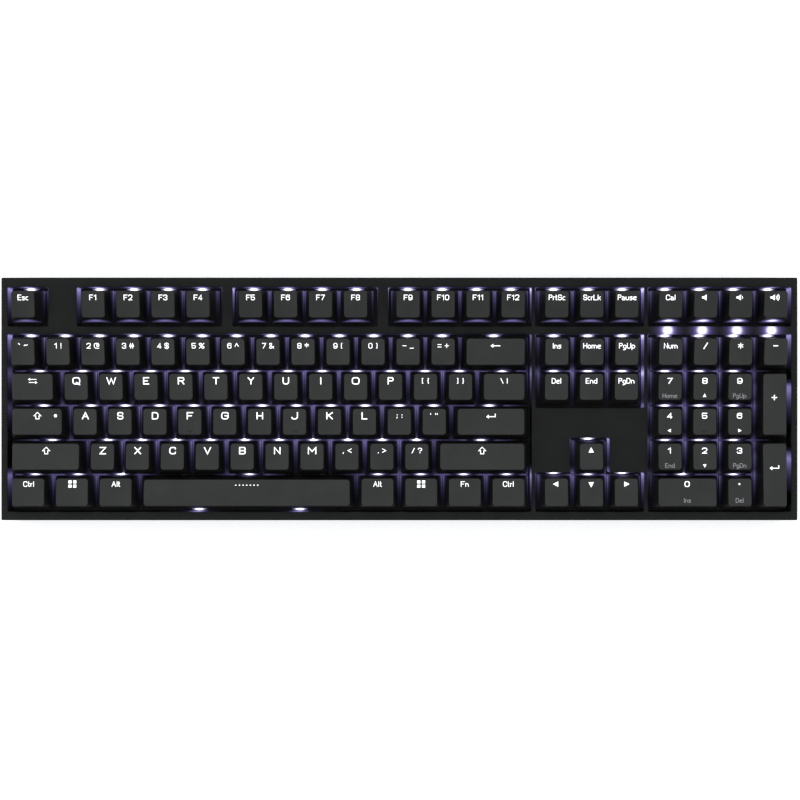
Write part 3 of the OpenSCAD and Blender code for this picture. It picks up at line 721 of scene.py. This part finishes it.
def plate_leak(place, _):
    """Painted light: the frames round the switches catch it, and the sheet's top under the bezel doesn't."""
    return tinted(leaked(place, PLATE_SIDE) * PLATE_SHARE if place.z < PLATE_FRAME_TOP / 2 else 0.0, 1.0)


def painted_lens_glow(place, _):
    """Painted glow: a lens is brightest in its middle. The lamps under the plate all glow alike."""
    if place.z < 0:
        return LED_GLOW
    away = min(abs(x - place.x) for x, y in lenses_near(place) if abs(y - place.y) <= LENS_D)
    core = CORE_POWER * exp(-(away / CORE_W) ** 2)
    return (*(LEAK_COLOUR * RIM_POWER * exp(-away / RIM_W) + Vector((core, core, core))), 1.0)


def cap_leak(place, normal):
    """Painted shade makes a cap's sides darker than its top and the function row's tops a little darker, and
    painted light falls on the sides, with painted glints in front on those of the function row.
    """
    up = min(max((normal.z - 0.45) / 0.4, 0.0), 1.0)
    top_painted_shade = FUNCTION_TOP_PAINTED_SHADE if place.y > RIB_Y else TOP_PAINTED_SHADE
    if up == 1:
        return (0.0, 0.0, 0.0, top_painted_shade)
    high = place.z - SKIRT_Z
    light = CAP_LIGHT * leaked(place, sideways(normal)) * (1 - up) * exp(-max(high, 0.0) / CAP_LIGHT_H)
    # A painted glint on the fronts of the function row
    front = place.y - (row_y(FUNCTION_ROW) - PITCH / 2)
    if 0 < front < 4 and normal.y < -0.7:
        near = min(CAPS_OF_FUNCTION_ROW, key=lambda cap: abs(cap.x - place.x))
        across = (place.x - near.x) / near.w * 2
        power, width = GLINT_MEDIA if near.x > col_x(18.5) else GLINT_USUAL
        centre = GLINT_H - GLINT_BOW * across * across
        glint = power * exp(-(across / width) ** 2)
        light += glint * exp(-((high / near.h - centre) / GLINT_D) ** 2)
    # Painted light in the colour, painted shade in alpha, blended from the sides to the top
    return tinted(light, SIDE_PAINTED_SHADE + (top_painted_shade - SIDE_PAINTED_SHADE) * up)


# Legends
LETTER_H, DIGIT_H, SLASH_H = 4.0, 3.2, 3.6
SMALL_H, TINY_H = 3.0, 2.5
LINE_SHARE, SMALL_LINE_SHARE = 0.145, 0.125
LEGEND_DROP = 3.9
LEGEND_DEPTH = 0.12
LEGEND_PROUD = 0.03


def polygons(shapes):
    """Flat polygons, each a list of points, as a mesh."""
    flat = bmesh.new()
    for points in shapes:
        flat.faces.new([flat.verts.new((x, y, 0)) for x, y in points])
    return flat


def rounded(points, closed, radius):
    """Rounds a path's inner corners, or all of them where it is closed."""
    count = len(points)
    path = []
    for i, corner in enumerate(points):
        if not closed and i in (0, count - 1):
            path.append(corner)
            continue
        here = Vector(corner)
        before, after = Vector(points[i - 1]) - here, Vector(points[(i + 1) % count]) - here
        free_before = 1.0 if not closed and i == 1 else 0.5
        free_after = 1.0 if not closed and i == count - 2 else 0.5
        reach = min(radius, before.length * free_before, after.length * free_after)
        start, end = here + before.normalized() * reach, here + after.normalized() * reach
        for step in range(6):
            t = step / 5
            point = start * (1 - t) ** 2 + here * 2 * t * (1 - t) + end * t ** 2
            if not path or (point - Vector(path[-1])).length > 1e-4:
                path.append(tuple(point))
    if closed and (Vector(path[0]) - Vector(path[-1])).length < 1e-4:
        path.pop()
    if not closed and len(path) > 2 and (Vector(path[-1]) - Vector(path[-2])).length < 1e-4:
        path.pop(-2)
    return path


def stroke(points, width, closed=False):
    """A line of that width through the points, with round ends and mitred corners, as flat polygons."""
    path = [Vector(p) for p in points]
    count, half = len(path), width / 2
    sides = []
    for i, here in enumerate(path):
        before = path[i - 1] if closed or i else None
        after = path[(i + 1) % count] if closed or i < count - 1 else None
        into = (here - before).normalized() if before else (after - here).normalized()
        out = (after - here).normalized() if after else into
        normal = Vector((-(into.y + out.y), into.x + out.x)).normalized()
        reach = half / max(normal.dot(Vector((-into.y, into.x))), 0.5)
        sides.append((here + normal * reach, here - normal * reach))
    shapes = []
    for i in range(count if closed else count - 1):
        (a, b), (c, d) = sides[i], sides[(i + 1) % count]
        shapes.append([tuple(b), tuple(d), tuple(c), tuple(a)])
    if not closed:
        for end, inner in ((0, 1), (count - 1, count - 2)):
            tip = path[end]
            away = (tip - path[inner]).angle_signed(Vector((1, 0)))
            angles = [away + radians(turn) for turn in range(-90, 91, 30)]
            shapes.append([(tip.x + half * cos(a), tip.y + half * sin(a)) for a in angles])
    return shapes


def triangle(size, turn):
    """A solid arrowhead that points to the turn, in degrees from +x."""
    corners = [(radians(turn + away), size * long) for away, long in ((0, 1), (125, 0.95), (-125, 0.95))]
    return [[(r * cos(a), r * sin(a)) for a, r in corners]]


def scaled(shapes, factor):
    return [[(x * factor, y * factor) for x, y in shape] for shape in shapes]


def disc(radius, x=0.0):
    return [[(px, py) for px, py, _ in ellipse(x, 0.0, radius, radius, 0, 16)]]


WAVE_X, WAVE_W, WAVE_SPREAD, WAVE_STEPS = 0.35, 0.26, 48, 8


def wave(radius):
    """A sound wave: a bent line, open to the left."""
    angles = [radians(-WAVE_SPREAD + 2 * WAVE_SPREAD * i / WAVE_STEPS) for i in range(WAVE_STEPS + 1)]
    outer, inner = ([(WAVE_X + r * cos(a), r * sin(a)) for a in angles]
                    for r in (radius + WAVE_W / 2, radius - WAVE_W / 2))
    return [[outer[i], outer[i + 1], inner[i + 1], inner[i]] for i in range(WAVE_STEPS)]


def speaker(waves):
    shapes = [[(-1.7, -0.45), (-0.9, -0.45), (0.35, -1.35), (0.35, 1.35), (-0.9, 0.45), (-1.7, 0.45)]]
    for i in range(waves):
        shapes += wave(0.75 + 0.62 * i)
    return scaled([[(x - 0.25 * waves, y) for x, y in shape] for shape in shapes], 1.2)


# Letters: each sign is followed by its strokes, on a grid 4 wide and 8 high, with two signs to a point.
# A stroke that starts with r has its inner corners rounded, and one with c is closed as well. The heights
# a and b are below the line.
GLYPH_TEXT = """
A 00 28 40|13 33  B 00 08|r08 48 44 04|r04 44 40 00  C r46 48 08 00 40 42  D 00 08|r08 48 40 00
E 48 08 00 40|04 34  F 48 08 00|04 34  G r46 48 08 00 40 44|24 44  H 00 08|40 48|04 44  I 20 28
J r48 40 00 02  K 00 08|48 03|15 40  L 08 00 40  M 00 08 23 48 40  N 00 08 40 48  O c00 40 48 08
P 00 08|r08 48 44 04  Q c00 40 48 08|22 4a  R 00 08|r08 48 44 04|24 40  S r46 48 08 04 44 40 00 02
T 08 48|28 20  U r08 00 40 48  V 08 20 48  W 08 10 27 30 48  X 08 40|00 48  Y 08 24 48|24 20  Z 08 48 00 40
0 c00 40 48 08  1 06 38 30  2 r06 08 48 44 00|00 40  3 r06 08 48 44 24|r24 44 40 00 02  4 30 38 02 42
5 48 08 04|r04 45 40 00 02  6 r46 48 08 00 40 45 05  7 08 48 10  8 c04 44 48 08|c00 40 44 04
9 r02 00 40 48 08 03 43  ` 08 36  ~ r04 16 34 46  ! 28 23|20 21  @ r40 00 08 48 43 23 26 46
# 10 18|30 38|03 43|05 45  $ r46 48 08 04 44 40 00 02|29 2a  % 00 48|c05 25 28 08|c20 40 43 23  ^ 03 28 43
& r40 06 08 28 26 02 00 20 43  * 28 22|06 44|46 04  ( r38 18 10 30  ) r18 38 30 10  - 04 44  _ 00 40
= 02 42|06 46  + 04 44|27 21  [ 38 18 10 30  { 38 28 25 14 23 20 30  ] 18 38 30 10  } 18 28 25 34 23 20 10
\\ 08 40  | 28 20  ; 25 26|22 10  : 25 26|21 22  ' 28 26  " 18 16|38 36  , 21 1a  < 47 04 41  . 20 21
> 07 44 01  / 00 48  ? r06 08 48 44 24 23|20 21  s r45 05 03 43 40 00  c r45 05 00 40  t r18 10 40|05 35
r 00 05|r03 05 45  l 28 20  n 00 05|r05 45 40  o c00 40 45 05  m 00 05|r05 25 20|r25 45 40
e r03 43 45 05 00 40  g r40 00 05 45 4b 0b  p 05 0b|r05 45 40 00  k 08 00|45 02|23 40  u r05 00 40 45
a r05 45 40|r43 03 00 40  d 48 40|r45 05 00 40
"""
GLYPHS = {entry[0]: entry[2:] for row in GLYPH_TEXT.split("\n") for entry in row.split("  ") if entry}
WIDTH_GROUPS = {
    "Il!.:'|": 0.1, "rt": 0.28, "()[],;": 0.3, "`": 0.35, "{}": 0.4, "1": 0.44, "cs": 0.46, "k": 0.48,
    "/\\": 0.5, "L": 0.6, "P": 0.62, "SE": 0.64, "C": 0.72, "X": 0.74, "$": 0.75, "A": 0.76, "V": 0.8,
    "G": 0.82, "#&": 0.85, "OQ": 0.86, "Mm": 0.95, "@%": 0.98, "W": 1.1,
}
WIDTHS = {letter: width for group, width in WIDTH_GROUPS.items() for letter in group}
USUAL_WIDTH, SMALL_WIDTH = 0.7, 0.55
GRID_HEIGHTS = {"a": -1, "b": -2.5}


def letters(text, height, width):
    """The text as flat polygons centred on the origin, with capitals that tall and strokes that wide."""
    line = height - width
    shapes, x = [], 0.0
    for letter in text:
        if letter == " ":
            x += 0.55 * line
            continue
        usual = SMALL_WIDTH if letter.islower() else USUAL_WIDTH
        across = WIDTHS.get(letter, usual) * line * (1.25 if len(text) == 1 else 1)
        for part in GLYPHS[letter].split("|"):
            kind = part[0] if part[0] in "rc" else ""
            points = []
            for point in part[len(kind):].split():
                level = GRID_HEIGHTS[point[1]] if point[1] in GRID_HEIGHTS else int(point[1])
                points.append((x + int(point[0]) / 4 * across, (level / 8 - 0.5) * line))
            if kind:
                points = rounded(points, kind == "c", 0.42 * line)
            shapes += stroke(points, width, kind == "c")
        x += across + width * 1.75
    middle = (x - width * 1.75) / 2
    return [[(px - middle, py) for px, py in shape] for shape in shapes]


HALF_ARROW = [(0.6, -1.2), (0.6, -0.05), (1.35, -0.05)]
ARROW_OUTLINE = [(0, 1.3)] + HALF_ARROW[::-1] + [(-x, y) for x, y in HALF_ARROW]
HOLLOW_ARROW = scaled(stroke(ARROW_OUTLINE, 0.26, True), 1.45)
ICONS = {
    "<up>": HOLLOW_ARROW, "<caps>": HOLLOW_ARROW + disc(0.85, 10),
    "<back>": scaled(stroke([(-1.6, 0), (1.9, 0)], 0.36) + [[(-2.2, 0), (-1.0, 0.85), (-1.0, -0.85)]], 1.25),
    "<enter>": scaled(stroke([(-1.4, -0.4), (1.9, -0.4), (1.9, 0.75)], 0.36)
                      + [[(-2.1, -0.4), (-0.9, 0.42), (-0.9, -1.22)]], 1.25),
    "<tab>": scaled(stroke([(-1.5, 0.62), (1.6, 0.62)], 0.28) + [[(-2.1, 0.62), (-1.1, 1.2), (-1.1, 0.05)]]
                    + stroke([(-1.6, -0.72), (1.5, -0.72)], 0.28)
                    + [[(2.1, -0.72), (1.1, -1.3), (1.1, -0.15)]], 1.24),
    "<menu>": [[(x - 0.85, y - 0.8), (x + 0.85, y - 0.8), (x + 0.85, y + 0.8), (x - 0.85, y + 0.8)]
               for x in (-1.3, 1.3) for y in (-1.15, 1.15)],
    "<tri_up>": triangle(1.85, 90), "<tri_down>": triangle(1.85, -90),
    "<tri_left>": triangle(1.85, 180), "<tri_right>": triangle(1.85, 0), "<dot>": disc(0.5),
    "<star>": [shape for a in (radians(30), radians(90), radians(150)) for shape in stroke(
        [(r * cos(a), r * sin(a)) for r in (-1.4, 1.4)], 0.42)],
    "<small_up>": triangle(1.2, 90), "<small_down>": triangle(1.2, -90),
    "<small_left>": triangle(1.2, 180), "<small_right>": triangle(1.2, 0),
    "<mute>": speaker(0), "<quieter>": speaker(1), "<louder>": speaker(3),
    "<dashes>": [shape for i in range(7) for shape in stroke([(2 * i - 6.15, 0), (2 * i - 5.85, 0)], 0.5)],
    "<minus>": stroke([(-1.1, 0), (1.1, 0)], 0.55),
    "<plus>": stroke([(-1.25, 0), (1.25, 0)], 0.55) + stroke([(0, -1.25), (0, 1.25)], 0.55),
}


def lay_on_cap(bm, flat, cap, y):
    """Bends a flat shape onto the cap's top and gives it a little depth."""
    place = {}
    for vert in flat.verts:
        px, py = vert.co.x, y + vert.co.y
        z = cap.top(px, py)
        place[vert] = (bm.verts.new(cap.point(px, py, z + LEGEND_PROUD)),
                       bm.verts.new(cap.point(px, py, z - LEGEND_DEPTH)))
    for face in flat.faces:
        bm.faces.new([place[v][0] for v in face.verts])
        bm.faces.new([place[v][1] for v in reversed(face.verts)])
    for edge in flat.edges:
        if len(edge.link_faces) == 1:
            a, b = edge.verts
            bm.faces.new((place[a][0], place[b][0], place[b][1], place[a][1]))
    flat.free()


def legend(bm, text, cap, height, drop):
    """Draws one legend, an icon or letters, that far in front of the top's rear edge."""
    share = LINE_SHARE if len(text) == 1 else SMALL_LINE_SHARE
    shapes = ICONS[text] if text in ICONS else letters(text, height, height * share)
    lay_on_cap(bm, polygons(shapes), cap, cap.rear - drop)


HOMING = ("F", "J", "5")
SECOND_LEGENDS = {
    "numpad_digits": ["Home", "<small_up>", "PgUp", "<small_left>", "", "<small_right>",
                      "End", "<small_down>", "PgDn"],
    "numpad_0": ["Ins"], "numpad_point": ["Del"],
}
LEGEND_DROPS = {"numpad_plus": 13.0, "numpad_enter": 13.0}
ROW_DROPS = {0: 3.1, FUNCTION_ROW: 3.4}
SECOND_DROP = 12.0


def legend_height(text):
    if text == "/":
        return SLASH_H
    if len(text) > 1:
        return SMALL_H
    return LETTER_H if text.isalpha() else DIGIT_H


def make_caps(node, caps, texts):
    bm = bmesh.new()
    for cap, text in zip(caps, texts):
        cap.shell(bm)
        cap.posts(bm)
        if text in HOMING:
            cap.homing_bar(bm)
    looks = [CAP_PLASTIC, SLIDER_PLASTIC]
    piece = add_piece(node + "_caps", bm, node, looks, 35, cap_leak)
    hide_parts(node)


def make_springs(node, caps):
    bm = bmesh.new()
    for cap in caps:
        coil(bm, cap.x, cap.y)
    piece = add_piece(node + "_springs", bm, "case", [STEEL], 60)
    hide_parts("switch_springs")
    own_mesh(piece)


def make_legends(node, caps, texts):
    bm = bmesh.new()
    for cap, text in zip(caps, texts):
        drop = LEGEND_DROPS.get(node, ROW_DROPS.get(cap.row, LEGEND_DROP))
        legend(bm, text, cap, legend_height(text), drop)
    seconds = list(zip(caps, SECOND_LEGENDS.get(node, [])))
    for cap, text in seconds:
        if text in ICONS:
            legend(bm, text, cap, SMALL_H, SECOND_DROP)
    add_piece(node + "_legends", bm, node, [LEGEND_WHITE], 60)
    if seconds:
        bm = bmesh.new()
        for cap, text in seconds:
            if text and text not in ICONS:
                legend(bm, text, cap, TINY_H, SECOND_DROP)
        add_piece(node + "_second_legends", bm, node, [LEGEND_DIM], 60)


def make_keys():
    for node, (_, texts) in KEY_NODES.items():
        make_caps(node, CAPS[node], texts)
        make_springs(node, CAPS[node])
        make_legends(node, CAPS[node], texts)


# Case
# Windows in the bezel: (first column, first row, columns, rows, extra width on the right)
WINDOWS = [
    (0, 5, 1, 1, 0.6), (2, 5, 4, 1, 1.0), (6.5, 5, 4, 1, 1.0), (11, 5, 4, 1, 0), (15.25, 5, 3, 1, 0),
    (18.5, 5, 4, 1, 0), (0, 0, 15, 5, 0), (15.25, 3, 3, 2, 0), (18.5, 0, 4, 5, 0),
]
WINDOW_R = 0.9
WALL_STEP = 2.4
EDGE_R = 0.45


def cells_box(column, row, columns, rows, grow):
    """The left, right, front and rear limits of a block of key cells, moved out by grow."""
    return (col_x(column) - grow, col_x(column + columns) + grow,
            row_y(row) - PITCH / 2 - grow, row_y(row + rows - 1) + PITCH / 2 + grow)


def window_outline(column, row, columns, rows, extra):
    x0, x1, y0, y1 = cells_box(column, row, columns, rows, WINDOW_GAP)
    x1 += extra
    middle = (x0 + x1) / 2
    along_x, along_y = round((x1 - x0) / WALL_STEP), round((y1 - y0) / WALL_STEP)
    return [(middle + x, y) for x, y in ring((x1 - x0) / 2, y0, y1, WINDOW_R, along_x, along_y)]


def arrow_outline():
    """The window round the four arrow keys: a wide slot with a narrow one behind its middle."""
    r = WINDOW_R
    x0, x1, y0, y1 = cells_box(15.25, 0, 3, 1, WINDOW_GAP)
    x2, x3, _, y2 = cells_box(16.25, 1, 1, 1, WINDOW_GAP)
    # Each corner: its centre, and the angles that its arc runs between
    corners = [
        (x1 - r, y0 + r, -90, 0), (x1 - r, y1 - r, 0, 90), (x3 + r, y1 + r, 270, 180),
        (x3 - r, y2 - r, 0, 90), (x2 + r, y2 - r, 90, 180), (x2 - r, y1 + r, 0, -90),
        (x0 + r, y1 - r, 90, 180), (x0 + r, y0 + r, 180, 270),
    ]
    points = []
    for x, y, start, end in corners:
        for i in range(5):
            angle = radians(start + (end - start) * i / 4)
            points.append((x + r * cos(angle), y + r * sin(angle)))
    return divided(points)


def divided(points):
    """Adds points along the long sides of an outline."""
    full = []
    for (x0, y0), (x1, y1) in zip(points, points[1:] + points[:1]):
        steps = max(1, round(hypot(x1 - x0, y1 - y0) / WALL_STEP))
        full += [(x0 + (x1 - x0) * i / steps, y0 + (y1 - y0) * i / steps) for i in range(steps)]
    return full


def extruded(outlines, z0, z1, edge):
    """A solid from an outer outline and its holes, with every edge rounded."""
    curve = bpy.data.curves.new("outline", "CURVE")
    curve.dimensions = "2D"
    curve.fill_mode = "BOTH"
    for points in outlines:
        spline = curve.splines.new("POLY")
        spline.points.add(len(points) - 1)
        spline.points.foreach_set("co", [c for x, y in points for c in (x, y, 0, 1)])
        spline.use_cyclic_u = True
    curve.extrude = (z1 - z0) / 2 - edge
    curve.bevel_depth = edge
    curve.bevel_resolution = 3
    curve.offset = -edge
    holder = placed("outline", curve)
    graph = bpy.context.evaluated_depsgraph_get()
    mesh = bpy.data.meshes.new_from_object(holder.evaluated_get(graph))
    mesh.transform(Matrix.Translation((0, 0, (z0 + z1) / 2)))
    bm = bmesh.new()
    bm.from_mesh(mesh)
    bpy.data.objects.remove(holder)
    bpy.data.curves.remove(curve)
    bpy.data.meshes.remove(mesh)
    bmesh.ops.remove_doubles(bm, verts=bm.verts, dist=1e-4)
    return bm


def case_outline(inset):
    radius = max(CASE_CORNER - inset, 0.4)
    return ring(CASE_W / 2 - inset, -CASE_D / 2 + inset, CASE_D / 2 - inset, radius, 1, 1, 8)


def make_top_case():
    holes = [window_outline(*w) for w in WINDOWS] + [arrow_outline()]
    bm = extruded([case_outline(0)] + holes, SLAB_BOTTOM, BEZEL_TOP, EDGE_R)
    walls = extruded([case_outline(0.02), case_outline(WALL)], SPLIT_Z, SLAB_BOTTOM + 1.5, 0.12)
    merge(bm, walls)
    piece = add_piece("top_case_shell", bm, "case", [BEZEL_PLASTIC], 30, case_leak)
    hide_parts("top_case")


# Plate
PLATE_T = 1.5
HOLE = 14.0
STABILISER_HOLE = 3.5
PLATE_INSET = WALL + 1.4
CELL_GAP = 0.15
PLATE_CELLS = [(0, 5, 1, 1), (2, 5, 4, 1), (6.5, 5, 4, 1), (11, 5, 4, 1), (15.25, 5, 3, 1), (18.5, 5, 4, 1),
               (0, 0, 15, 5), (15.25, 3, 3, 2), (15.25, 0, 3, 1), (16.25, 1, 1, 1), (18.5, 0, 4, 5)]


def plate_outline():
    half_d = CASE_D / 2 - PLATE_INSET
    return ring(CASE_W / 2 - PLATE_INSET, -half_d, half_d, 1.0, 1, 1)


def cell_outline(column, row, columns, rows):
    x0, x1, y0, y1 = cells_box(column, row, columns, rows, -CELL_GAP)
    return [((x0 + x1) / 2 + x, y) for x, y in ring((x1 - x0) / 2, y0, y1, 0.05, 1, 1, 1)]


def switch_frame(bm, cap):
    """The plate round one key's holes, as large as the key's cell."""
    half_w, half_d = cap.width * PITCH / 2, cap.depth * PITCH / 2
    hole_w = hole_d = HOLE / 2
    reach = max(abs(v) for place in cap.post_places() for v in place)
    if reach and cap.width > cap.depth:
        hole_w = reach + STABILISER_HOLE
    elif reach:
        hole_d = reach + STABILISER_HOLE
    steps_x, steps_y = (max(4, round(2 * half / WALL_STEP)) for half in (half_w, half_d))
    top = [(share, PLATE_FRAME_TOP) for share in (0.0, 0.3, 0.65, 1.0)]
    loops = []
    for share, z in [(0.0, -PLATE_T)] + top + [(1.0, -PLATE_T)]:
        reach_x, reach_y = hole_w + (half_w - hole_w) * share, hole_d + (half_d - hole_d) * share
        outline = ring(reach_x, -reach_y, reach_y, 0.1, steps_x, steps_y, 1)
        loops.append([bm.verts.new((cap.x + x, cap.y + y, z)) for x, y in outline])
    for a, b in zip(loops, loops[1:] + loops[:1]):
        for i in range(len(a)):
            bm.faces.new((a[i], a[i - 1], b[i - 1], b[i]))


def make_plate():
    """The plate: a frame round each switch, and the rest under the bezel."""
    bm = bmesh.new()
    for cap in ALL_CAPS:
        switch_frame(bm, cap)
    rest = extruded([plate_outline()] + [cell_outline(*w) for w in PLATE_CELLS], -PLATE_T, 0, 0.02)
    merge(bm, rest)
    piece = add_piece("plate_sheet", bm, "case", [PLATE_COAT], 30, plate_leak)
    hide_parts("switch_plate")


# Lights
LED_W, LED_D, LED_LOW, LED_HIGH = 3.0, 2.2, -4.95, -3.65
# Radius and height of each ring of a lock light
LOCK_LIGHT = ((1.5, -4.2), (1.5, BEZEL_TOP), (1.3, BEZEL_TOP + 0.18), (0.8, BEZEL_TOP + 0.33))
# Share of a lens's width and of its height, from its foot to its crown
LENS_PROFILE = ((0.97, 0.02), (1.0, 0.15), (0.93, 0.35), (0.8, 0.6), (0.65, 0.77), (0.5, 0.87),
                (0.36, 0.94), (0.22, 0.98), (0.1, 1.0))


def make_lights():
    bm = bmesh.new()
    for x, y in LOCK_PLACES:
        loft(bm, [ellipse(x, y, radius, radius, z) for radius, z in LOCK_LIGHT])
    piece = add_piece("lock_light_lenses", bm, "case", [LOCK_WHITE], 40)
    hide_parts("lock_lights")

    bm = bmesh.new()
    for cap in ALL_CAPS:
        box(bm, cap.x, cap.y + LED_Y, LED_W, LED_D, LED_LOW, LED_HIGH, 0.3)
    # Glowing lenses in the gaps behind the caps: painted light where the backlight shows
    for x, y in LENSES:
        loft(bm, [ellipse(x, y, LENS_W / 2 * share, LENS_D / 2 * share, high * LENS_H)
                  for share, high in LENS_PROFILE])
    piece = add_piece("leds_and_painted_glow_lenses", bm, "case", [LENS_PAINTED_GLOW], 40, painted_lens_glow)
    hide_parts("backlight_leds")


# CAD nodes that stay, with their own materials
def finish_cad_nodes():
    looks = (
        (CASE_PLASTIC, "bottom_case foot_left foot_right"), (HOUSING_BLACK, "switch_bases stabiliser_bases"),
        (HOUSING_CLEAR, "switch_covers"), (BRASS, "switch_contacts"), (STEEL, "stabiliser_wires usb_socket"),
        (BOARD_GREEN, "circuit_board"), (CHIP_BLACK, "controller_chip"),
        (SCREW_BLACK, "case_screws plate_screws"), (RUBBER, "foot_tip_left foot_tip_right rubber_pads"),
    )
    for material, nodes in looks:
        for node in nodes.split():
            mesh = frame["nodes"][node].data
            mesh.materials.clear()
            mesh.materials.append(material)


make_top_case()
make_plate()
make_keys()
make_lights()
finish_cad_nodes()
